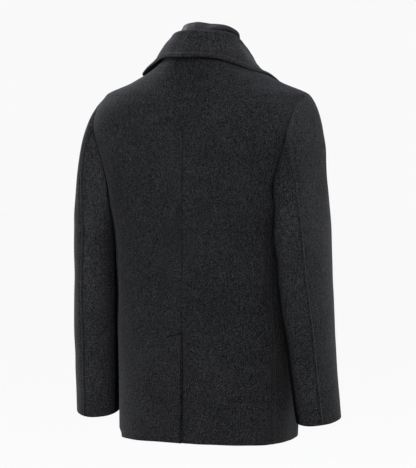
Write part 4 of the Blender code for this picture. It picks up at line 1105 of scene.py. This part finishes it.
fallEdge = (0.0, 0.0007, 0.0015, 0.0026, 0.0040, 0.0056, 0.0068, 0.0076, 0.0082, 0.0088, 0.0096, 0.0108, 0.0128)


def lifted(points, clearance):
    # points moved out of the body until they clear it
    points = points.copy()
    for _ in range(6):
        height = np.clip(points[..., 2], -0.800, 0.010)
        halfWidth, middle, back, front = girth(height)
        depth = np.where(points[..., 1] >= middle, back - middle, middle - front)
        turn = np.degrees(np.arctan2(points[..., 0] / halfWidth, (points[..., 1] - middle) / depth))
        normal = bodyNormal(turn, height)
        gap = ((points - onBody(turn, height)) * normal).sum(-1)
        short = np.clip(clearance - gap, 0.0, None) * (points[..., 2] < 0.010)
        points = points + normal * short[..., None]
    return points


def neckSeam(turn):
    back = lerp(coat["neckBack"], coat["neckSide"], np.clip(turn / 90.0, 0.0, 1.0))
    return back + coat["gorgeHeight"] * np.clip((turn - 90.0) / (coat["gorgeTurn"] - 90.0), 0.0, 1.0)


def leafShares(leaf):
    # places along a leaf, from the roll to its edge, close together at the edge
    length = lengthAlong(leaf)
    share = spread(length[-1:], (0.0,), turndown["leafMiddle"], fallEdge)[0]
    return alongLine(leaf, length, share * length[-1])[1:], share[1:]


def collarSection(foot, roll, mid, edge):
    # up the stand, over the roll and down the leaf, with the fold's normals
    radius = turndown["rollRadius"]
    stand = unit(roll - foot)
    out = unit((mid - roll) - stand * ((mid - roll) @ stand))
    centre = roll - stand * radius
    # the fold ends where it runs straight on into the leaf
    angles = np.radians(np.arange(60.0, 171.0, 0.05))[:, None]
    onward = unit(mid - centre - radius * (stand * np.sin(angles) - out * np.cos(angles)))
    ends = angles[np.argmax((onward * (stand * np.cos(angles) + out * np.sin(angles))).sum(-1)), 0]
    angles = np.linspace(0.0, ends, turndown["rollSteps"] + 1)
    radial = [stand * np.sin(angle) - out * np.cos(angle) for angle in angles]
    turned = [centre + radius * way for way in radial]
    upright = [lerp(foot, turned[0], t) for t in np.linspace(0.0, 1.0, turndown["standSteps"] + 1)]
    through = 2 * mid - (turned[-1] + edge) / 2
    t = np.linspace(0.0, 1.0, 160)[:, None]
    leaf, _ = leafShares((1 - t) ** 2 * turned[-1] + 2 * t * (1 - t) * through + t * t * edge)
    return np.array(upright + turned[1:] + list(leaf)), np.array([-out] * turndown["standSteps"] + radial)


def gorgeSection(share):
    # the collar where it lies flat beside the lapel; share 0 neck, 1 notch
    t = np.linspace(0.0, 1.0, 60)[:, None]
    _, leaf = leafShares(t * np.array([lerp(*turndown["gorgeLeaf"], share), 0.0, 0.0]))
    across = np.concatenate([
        np.zeros(standSeam), np.linspace(0.0, 0.16, leafFrom - standSeam + 1), lerp(0.16, 1.0, leaf)])
    x = lerp(bodyForm(coat["gorgeTurn"], coat["gorgeHeight"])[0], turndown["notchX"], share)
    height = lerp(coat["gorgeHeight"], turndown["notchHeight"], share)
    x = lerp(x, lerp(turndown["tipX"] - 0.001, turndown["tipX"], share), across)
    height = lerp(height, lerp(-0.080, turndown["tipHeight"], share), across)
    puff = 0.005 * hump(share / 0.6) * hump((across - 0.10) / 0.10)
    turn = frontTurn(x, height)
    return onBody(turn, height, coat["doubleCloth"] + coat["collarGap"] + puff), bodyNormal(turn, height)


def collarHalf():
    faces, folds = [], []
    Placed = namedtuple("Placed", ("place",) + Collar._fields)
    rows = [Placed(i, *row) for i, row in enumerate(collarRows)]
    for place in np.linspace(0.0, len(collarRows) - 1, turndown["stations"] + 1):
        at = {field: float(table(rows, field, place)) for field in Collar._fields}
        seamHeight = float(neckSeam(at["seamTurn"]))
        out = unit(bodyNormal(at["seamTurn"], seamHeight) * levelled)
        foot = onBody(at["seamTurn"], seamHeight) - out * 0.0030
        roll, mid, edge = (np.array([at[line + axis] for axis in "XYZ"]) for line in ("roll", "mid", "edge"))
        face, fold = collarSection(foot, roll, mid, edge)
        fold[0] = -out
        faces.append(face)
        folds.append(fold)
    faces, folds = np.array(faces), np.array(folds)
    normals = unit(np.cross(np.gradient(faces, axis=0), np.gradient(faces, axis=1)))
    normals[:, :folds.shape[1]] = folds
    normals[0, :, 0] = 0.0
    # from the last station the collar opens out and lies flat down to the notch
    shares = np.concatenate([np.linspace(0.0, 0.85, 14), 1 - np.array(fallEdge) / turndown["gorgeLength"]])
    gorge, flat = zip(*[gorgeSection(share) for share in np.unique(shares)])
    opening = np.linspace(0.0, 1.0, turndown["openingStations"] + 1)[1:-1]
    faces = list(faces) + [lerp(faces[-1], gorge[0], share) for share in opening] + list(gorge)
    normals = list(normals) + [lerp(normals[-1], flat[0], share) for share in opening] + list(flat)
    return np.array(faces), unit(np.array(normals))


def bothHalves(left, right=None):
    return np.concatenate([(left if right is None else right)[:0:-1] * mirrored, left])


def leaned(points):
    # the stand and the roll lie further to the right, and lower there
    x, share = points[..., :1], above(points[..., 2:], 0.008, 0.032)
    drop = turndown["rightDrop"] * above(-x, 0.0, 0.035)
    return points + share * np.concatenate([turndown["shift"] + 0 * x, 0 * x, turndown["lean"] * x - drop], -1)


def settled(points):
    # the leaf's ends stand out to the back and side, more in one place than in another
    x, y, z = points[..., 0], points[..., 1], points[..., 2]
    moved = points.copy()
    for side, middle, reach, out, way, start in turndown["settled"]:
        push = out * hump((z - middle) / reach) * above(side * x, 0.020, 0.040) * above(y, start, 0.040)
        moved += push[..., None] * np.array([*way, 0.0])
    return moved


def path(grid, parts):
    # one line through parts of a grid of points
    return np.concatenate([grid[part] for part in parts])


halfFace, halfNormal = collarHalf()


def collarPiece():
    face, normal = leaned(bothHalves(halfFace)), bothHalves(halfNormal)
    leaf = face[:, leafFrom:]
    rightEnd = above(-leaf[..., 0], 0.095, 0.035) * above(leaf[..., 1], -0.045, 0.030)
    leaf[..., 0] += turndown["rightEndIn"] * rightEnd
    face[:, leafFrom:] = settled(lifted(leaf, coat["doubleCloth"] + coat["leafGap"] * (1 - 0.8 * rightEnd)))
    face, normal = face[:, standSeam:], normal[:, standSeam:]
    start = leafFrom - standSeam
    border = path(face, ((0, slice(start, None)), (slice(None), -1), (-1, slice(None, start - 1, -1))))
    dips, shades, away = topstitched(face, border, turndown["stitchAway"], 0.0010)
    outside = face + normal * (dips + 0.0006 * hump((away - 0.0045) / 0.003))[..., None]
    # the cloth is pressed thinner where the collar bends over to the lapel
    station = np.abs(np.arange(len(face)) - len(face) // 2)
    pressed = 1 - 0.5 * hump((station - turndown["stations"] - 8) / 8.0)
    inside = face - normal * (coat["doubleCloth"] * pressed)[:, None, None]
    made = clothShell("collar_cloth", outside, inside, woolCollar, (1, 1, 0, 1), shades)
    k = fallEdge.index(turndown["stitchAway"])
    parts = (k, slice(start, -1 - k)), (slice(k, -k - 1), -1 - k), (-k - 1, slice(-1 - k, start, -1))
    sewing = stitches("collar_stitches", [(path(outside, parts), path(normal, parts))])
    dress(made, "collar", withPieces=[sewing])


def standPiece():
    count, end = turndown["stations"] + 1, turndown["standEndTurn"]
    face, normal = halfFace[:count, :standSeam + 1], halfNormal[:count, :standSeam + 1]
    end = onBody(end, float(neckSeam(end)), -0.0025) + np.array([0.0, 0.0, 0.0025])
    face = np.concatenate([face] + [lerp(face[-1:], end, t) for t in turndown["standEndSteps"]])
    normal = np.concatenate([normal] + [normal[-1:]] * len(turndown["standEndSteps"]))
    face, normal = leaned(bothHalves(face)), bothHalves(normal)
    inside = face - normal * coat["doubleCloth"]
    made = clothShell("collar_stand_cloth", face, inside, woolBody, (1, 1, 0, 0))
    dress(made, "collar_stand")


band = {
    "thick": 0.0018, "rise": 0.0135, "lean": 0.008, "stations": 78,
    # how far the top falls to the end, how late, and how much less it leans in there
    "left": (1.25, 2.2, 0.0), "right": (1.0, 3.6, 1.9),
    "bead": 0.0007, "beadPlace": 0.985, "beadWidth": 0.02,
    "columns": np.concatenate([np.linspace(0.0, 0.9, 16), [0.93, 0.95, 0.97, 0.985, 1.0]]),
}


def bandHalf(fall, late, opens):
    half = halfFace[:band["stations"] + 1]
    foot, top = half[:, 0], half[:, turndown["standSteps"]]
    crest = half[:, turndown["standSteps"] + turndown["rollSteps"] // 2]
    inward = unit((np.array([0.0, 0.013, 0.0]) - top) * levelled)
    place = np.linspace(0.0, 1.0, band["stations"] + 1)[:, None]
    rise = band["rise"] * np.clip(1 - place ** late * fall, -0.15, 1.0)
    lean = band["lean"] * (1 - opens * above(place, 0.0, 0.6))
    low = lerp(foot, top, 0.35) + inward * 0.0012
    middle = top + inward * 0.0014
    high = np.concatenate([top[:, :2], crest[:, 2:] + rise], axis=1) + inward * (0.0014 + lean)
    bend = lerp(middle, high, 0.55) + inward * -0.0015
    columns = []
    for t in band["columns"]:  # a smooth curve through the four rows of the band
        columns.append(
            (1 - t * 3) * (1 - t * 1.5) * (1 - t) * low + 9 * t * (1 - t * 1.5) * (1 - t) * middle
            - 4.5 * t * (1 - 3 * t) * (1 - t) * bend + t * (1 - 3 * t) * (1 - 1.5 * t) * high)
    return np.stack(columns, axis=1), inward


def bandPiece():
    (left, inward), (right, _) = bandHalf(*band["left"]), bandHalf(*band["right"])
    face, inward = leaned(bothHalves(left, right)), bothHalves(inward)[:, None]
    bead = band["bead"] * hump((band["columns"] - band["beadPlace"]) / band["beadWidth"])[None, :, None]
    inside = face + inward * (band["thick"] + bead)
    made = clothShell("neck_band_leather", face - inward * bead, inside, leatherFinish, (1, 1, 0, 1))
    dress(made, "neck_band")


collarPiece()
standPiece()
bandPiece()
print("collar made")


lapel = {
    "rows": 84, "inner": 26, "outer": 10, "length": 0.375, "belly": 0.010, "roll": 0.0045,
    "tipX": 0.150, "tipHeight": -0.127,
    "wrapSteps": 10, "wrapTurn": 165.0,  # how far the fold goes round the front's edge
    "freeFrom": {1: 0.05, -1: 0.55},  # the lower lapel lies flat where the upper front covers it
    "edge": (0.0, 0.0007, 0.0014, 0.0024, 0.0038, 0.0054, 0.0062, 0.0070, 0.0078, 0.0090, 0.011),
    "stitchAway": 0.0067, "stitchColumn": 7,
}


def lapelPiece(side, word):
    rise = spread(np.array([lapel["length"]]), (0.0,), lapel["rows"], lapel["edge"])[0][:, None]
    gorgeX = bodyForm(coat["gorgeTurn"], coat["gorgeHeight"])[0]
    notch = (turndown["notchX"] - gorgeX) / (lapel["tipX"] - gorgeX)
    heightIn = lerp(coat["breakHeight"], coat["gorgeHeight"], rise)
    xIn = rollX(heightIn)
    xOut = lerp(-coat["wrap"] + 0.012, lapel["tipX"], rise) + lapel["belly"] * np.sin(np.pi * rise)
    heightOut = lerp(coat["breakHeight"] - 0.002, lapel["tipHeight"], rise)
    length = np.hypot(xOut - xIn, heightOut - heightIn)[:, 0]
    outer = spread(np.maximum(length * (1 - notch), 0.017), (0.0,), lapel["outer"], lapel["edge"])
    inner = np.repeat(np.linspace(0.0, notch, lapel["inner"])[None, :-1], len(rise), 0)
    across = np.concatenate([inner, lerp(notch, 1.0, outer)], 1)
    line = lerp(coat["gorgeHeight"], lapel["tipHeight"], notch)
    sag = (turndown["notchHeight"] - line) * np.interp(across, [0.0, notch, 1.0], [0.0, 1.0, 0.0])
    x, height = lerp(xIn, xOut, across), lerp(heightIn, heightOut, across) + sag * rise ** 6
    turn = frontTurn(x, height)
    under = overlapLift(side, turn, height)
    roll = lapel["roll"] * hump(across / 0.22) * above(rise, lapel["freeFrom"][side], 0.2)
    gap = lerp(coat["lapGap"], coat["collarGap"], above(rise, 0.5, 0.3))
    lift = under + gap + coat["doubleCloth"] + roll
    flat = onBody(side * turn, height, lift)
    freeTop = across[-1] >= notch - 0.001
    border = np.concatenate([flat[:, -1], flat[-1, freeTop][::-1]])
    dips, shades, away = topstitched(flat, border, lapel["stitchAway"])
    outside = onBody(side * turn, height, lift + dips + 0.0004 * hump((away - 0.0035) / 0.0025))
    inside = onBody(side * turn, height, lift - coat["doubleCloth"])
    # the fold: from the lapel's face round the front's edge to the inside of the front
    ups = bodyNormal(side * turn, height)
    way, ahead = ups[:, 0], flat[:, 0] - flat[:, 3]
    ahead = unit(ahead - way * (ahead * way).sum(-1, keepdims=True)) * above(rise, -0.009, 0.06)
    top, bottom = lift[:, 0], under[:, 0] - coat["cloth"]
    centre = onBody(side * turn[:, 0], height[:, 0], (top + bottom) / 2)
    radius = ((top - bottom) / 2)[:, None]
    angles = np.radians(np.linspace(lapel["wrapTurn"], 0.0, lapel["wrapSteps"] + 1))[:-1]
    radial = [way * np.cos(angle) + ahead * np.sin(angle) for angle in angles]
    outside, inside = (
        np.concatenate([np.stack([centre + out * reach for out in radial], 1), face], 1)
        for face, reach in ((outside, radius), (inside, radius - coat["doubleCloth"])))
    fold = len(radial)
    shades = np.concatenate([np.zeros((len(shades), fold)), shades], 1)
    free = np.concatenate([np.zeros(fold), freeTop])[:, None]
    name, k = "lapel_" + word, -1 - lapel["stitchColumn"]
    made = clothShell(name + "_cloth", outside, inside, woolBody, (1, free, 0, 1), shades)
    top = np.flatnonzero(free[:, 0] > 0)[4:k][::-1]
    line = path(outside, ((slice(4, k), k), (k, top))), path(ups, ((slice(4, k), k), (k, top - fold)))
    sewing = stitches(name + "_stitches", [line])
    dress(made, name, [sewing])


for side, word in sides:
    lapelPiece(side, word)
print("lapels made")


# Pocket welts

welt = {
    "turnTop": 132.0, "turnFoot": 124.0, "top": -0.470, "foot": -0.632, "turns": 12.0, "slant": 0.004,
    "length": 0.163, "width": 0.035, "rows": 40, "columns": 10,
    "edge": (0.0, 0.0007, 0.0014, 0.0024, 0.0038, 0.0048, 0.0056, 0.0064, 0.0074, 0.009),
    "stitchAway": 0.0056, "crown": 0.0006,
}


def weltPiece(side, word):
    down, across = (
        spread(np.array([welt[size]]), welt["edge"], welt[count], welt["edge"])
        for size, count in (("length", "rows"), ("width", "columns")))
    down = down[0][:, None]
    turn = lerp(welt["turnTop"], welt["turnFoot"], down) - welt["turns"] * across
    height = lerp(welt["top"], welt["foot"], down) + welt["slant"] * across
    lift = coat["lapGap"] + coat["cloth"] + overlapLift(side, turn, height)
    flat = onBody(side * turn, height, lift)
    border = path(flat, (0, (slice(None), -1), (-1, slice(None, None, -1)), (slice(None, None, -1), 0)))
    dips, shades, away = topstitched(flat, border, welt["stitchAway"])
    dips = dips + welt["crown"] * above(away, 0.006, 0.006)
    outside, inside = (onBody(side * turn, height, lift + out) for out in (dips, -coat["cloth"]))
    name, ups = "pocket_welt_" + word, bodyNormal(side * turn, height)
    made = clothShell(name + "_cloth", outside, inside, woolBody, (1, 1, 1, 1), shades)
    k = welt["edge"].index(welt["stitchAway"])
    ring = ((k, slice(k, -k - 1)), (slice(k, -k - 1), -k - 1), (-k - 1, slice(-k - 1, k, -1)),
            (slice(-k - 1, k, -1), k))
    tacks = [(outside[row, 3:-3], ups[row, 3:-3]) for row in (2, -3)]
    sewing = stitches(name + "_stitches", [(path(outside, ring), path(ups, ring))])
    dress(made, name, [sewing, stitches(name + "_bar_tacks", tacks, tackThread)])


for side, word in sides:
    weltPiece(side, word)
print("welts made")


# Buttons and buttonholes

button = {
    "radius": 0.0145, "thick": 0.0042, "rim": 0.0030, "standoff": 0.0004,
    "holeRadius": 0.0012, "holePitch": 0.0024, "x": 0.064, "heights": (-0.392, -0.502, -0.612),
    "threadRadius": 0.00042, "shank": 0.0011,
    "holeFrom": -0.0540, "holeTo": -0.0350,  # the worked hole beside each button of the closing row
    "holeHalf": 0.00125,  # its two rows of stitches lie this far above and below
    "dish": 0.585,  # the level of the face inside the rim, as a share of the thickness
}


def buttonMesh():
    # a lathe with four holes through it
    r, thick, rim, pitch = button["radius"], button["thick"], button["rim"], button["holePitch"]
    profile = [(0.0, 0.58), (r * 0.30, button["dish"])]
    profile += [(r - rim * away, level) for away, level in (
        (1.35, 0.62), (1.10, 0.66), (0.92, 0.80), (0.74, 0.94),
        (0.55, 1.0), (0.32, 0.99), (0.13, 0.90), (0.02, 0.74))]
    profile += [(r * share, level) for share, level in (
        (1.0, 0.60), (0.985, 0.42), (0.955, 0.24), (0.91, 0.08), (0.86, 0.0), (0.0, 0.0))]
    mesh = bmesh.new()
    points = [mesh.verts.new((radius, 0.0, level * thick)) for radius, level in profile]
    edges = [mesh.edges.new(pair) for pair in zip(points, points[1:])]
    around = {"axis": (0, 0, 1), "cent": (0, 0, 0), "angle": 2 * np.pi, "steps": 72, "use_merge": True}
    bmesh.ops.spin(mesh, geom=points + edges, **around)
    bmesh.ops.remove_doubles(mesh, verts=mesh.verts, dist=0.00001)
    bmesh.ops.recalc_face_normals(mesh, faces=mesh.faces)
    blank, drills = bpy.data.meshes.new("button"), bpy.data.meshes.new("drill")
    mesh.to_mesh(blank)
    mesh.clear()
    hole = button["holeRadius"]
    drill = {"cap_ends": True, "segments": 20, "radius1": hole, "radius2": hole, "depth": thick * 4}
    for x, y in ((-1, -1), (-1, 1), (1, -1), (1, 1)):
        made = bmesh.ops.create_cone(mesh, **drill)
        bmesh.ops.translate(mesh, verts=made["verts"], vec=(x * pitch, y * pitch, 0))
    mesh.to_mesh(drills)
    mesh.free()
    blank, drills = addObject("blank", blank), addObject("drills", drills)
    holes = blank.modifiers.new("holes", "BOOLEAN")
    holes.operation, holes.object, holes.solver = "DIFFERENCE", drills, "EXACT"
    bpy.context.view_layer.update()
    finished = bpy.data.meshes.new_from_object(blank.evaluated_get(bpy.context.evaluated_depsgraph_get()))
    for piece in (blank, drills):
        bpy.data.objects.remove(piece)
    finished.materials.clear()
    finished.materials.append(hornFinish)
    finished.shade_smooth()
    finished.set_sharp_from_angle(angle=np.radians(40.0))
    return finished


def threadMesh():
    # the sewing threads: two crossing pairs over the button's face, and a short shank under it
    pitch, radius = button["holePitch"], button["threadRadius"]
    lines = []
    for turned, level in ((1, 0.0), (-1, 1.0)):
        for strand in (-0.55, 0.55):
            s = np.linspace(-1.0, 1.0, 13)
            drop = 0.00242 * above(np.abs(s), 0.80, 0.20)
            crown = (radius * 1.5 * level + 0.00025) * (1 - s * s) + radius * 0.9
            x, y, beside = s * pitch * 1.02, s * pitch * 1.02 * turned, strand * radius * 1.3
            top = button["thick"] * button["dish"] + crown - drop
            lines.append(np.stack([x - beside * turned, y + beside, top], -1))
    shank = np.linspace(-button["standoff"] - 0.0003, 0.0004, 4)
    for a in 2 * np.pi * np.arange(5) / 5:
        x, y = np.cos(a) * button["shank"], np.sin(a) * button["shank"]
        lines.append(np.array([(x, y, z) for z in shank]))
    points, faces = [], []
    for line in lines:
        faces.extend(tubeFaces(len(line), 6, len(points)))
        along = unit(np.gradient(line, axis=0))
        side = unit(np.cross(along, np.array([0.3, 0.5, 0.81])))
        up = np.cross(side, along)
        for k, centre in enumerate(line):
            for a in np.radians(np.arange(0, 360, 60)):
                points.append((centre + (side[k] * np.cos(a) + up[k] * np.sin(a)) * radius).tolist())
    return tubeMesh("button_threads", points, faces)


def buttonPlace(x, height, lift):
    turn = frontTurn(x, height)
    lift = overlapLift(1, turn, height) + drape(turn, height) + lift
    return onBody(turn, height, lift), bodyNormal(turn, height)


buttonData, threadData = buttonMesh(), threadMesh()
for row, height in enumerate(button["heights"], start=1):
    for side, word in sides:
        node = "button_" + word + "_" + str(row)
        place, normal = buttonPlace(side * button["x"], height, button["standoff"])
        facing = (normal, "Z", "Y")
        dress(addObject(node + "_horn", buttonData, place, facing), node)
        dress(addObject(node + "_threads", threadData, place, facing), None)
    line = np.linspace(button["holeFrom"], button["holeTo"], 30)
    middle, ups = buttonPlace(line, np.full(30, height), 0.00005)
    rows = [(middle + np.array([0.0, 0.0, out * button["holeHalf"]]), ups) for out in (1, -1)]
    dress(stitches("buttonhole_" + str(row) + "_stitches", rows, holeThread), None)
print("buttons made")


# Floor, light and camera

studio = {
    "floor": -1.45, "floorReach": 30.0, "floorTone": (0.22, 0.22, 0.22, 1.0), "glow": 0.734,
    "surround": (0.947, 0.947, 0.947, 1.0),
    "target": (0.0, 0.0, -0.366), "camera": (-2.814, 5.292, -0.094), "lens": 230.8,
    # each light's name, place, power, width, height and colour
    "lights": (
        ("overhead", (0.7, -0.2, 2.6), 64.0, 2.6, 2.6, (0.73, 0.83, 1.0)),
        ("sideLeft", (3.0, 0.0, 0.6), 76.0, 0.9, 2.4, (1.0, 1.0, 1.0)),
        ("sideRight", (-2.6, -0.6, 0.6), 10.0, 0.9, 2.4, (1.0, 1.0, 1.0)),
        ("behind", (-1.5, 2.6, 1.9), 97.0, 1.6, 1.2, (1.0, 1.0, 1.0)),
    ),
}


def atTarget(name, data, place):
    # a light or camera that looks at the coat
    return addObject(name, data, place, (Vector(studio["target"]) - Vector(place), "-Z", "Y"))


def studioFloor():
    mesh = bmesh.new()
    bmesh.ops.create_circle(mesh, cap_ends=True, segments=64, radius=studio["floorReach"])
    data = bpy.data.meshes.new("floor")
    mesh.to_mesh(data)
    mesh.free()
    made, _, shader = newMaterial("paleFloor")
    setInputs(shader, {
        "Base Color": studio["floorTone"], "Emission Color": (1.0, 1.0, 1.0, 1.0),
        "Emission Strength": studio["glow"], "Roughness": 1.0, "Specular IOR Level": 0.0})
    floor = addPiece("floor", data, made)
    floor.location = (0.0, 0.0, studio["floor"])


studioFloor()
world = bpy.data.worlds.new("studio")
bpy.context.scene.world = world
world.use_nodes = True
setInputs(world.node_tree.nodes["Background"], {"Color": studio["surround"]})
for name, place, power, width, height, colour in studio["lights"]:
    light = bpy.data.lights.new(name, "AREA")
    light.shape, light.size, light.size_y = "RECTANGLE", width, height
    light.energy, light.color = power, colour
    atTarget(name, light, place)
camera = atTarget("camera", bpy.data.cameras.new("camera"), studio["camera"])
camera.data.lens, camera.data.sensor_width = studio["lens"], 36.0
bpy.context.scene.camera = camera
bpy.context.scene.view_settings.view_transform = "Standard"
print("stage, light and camera made")
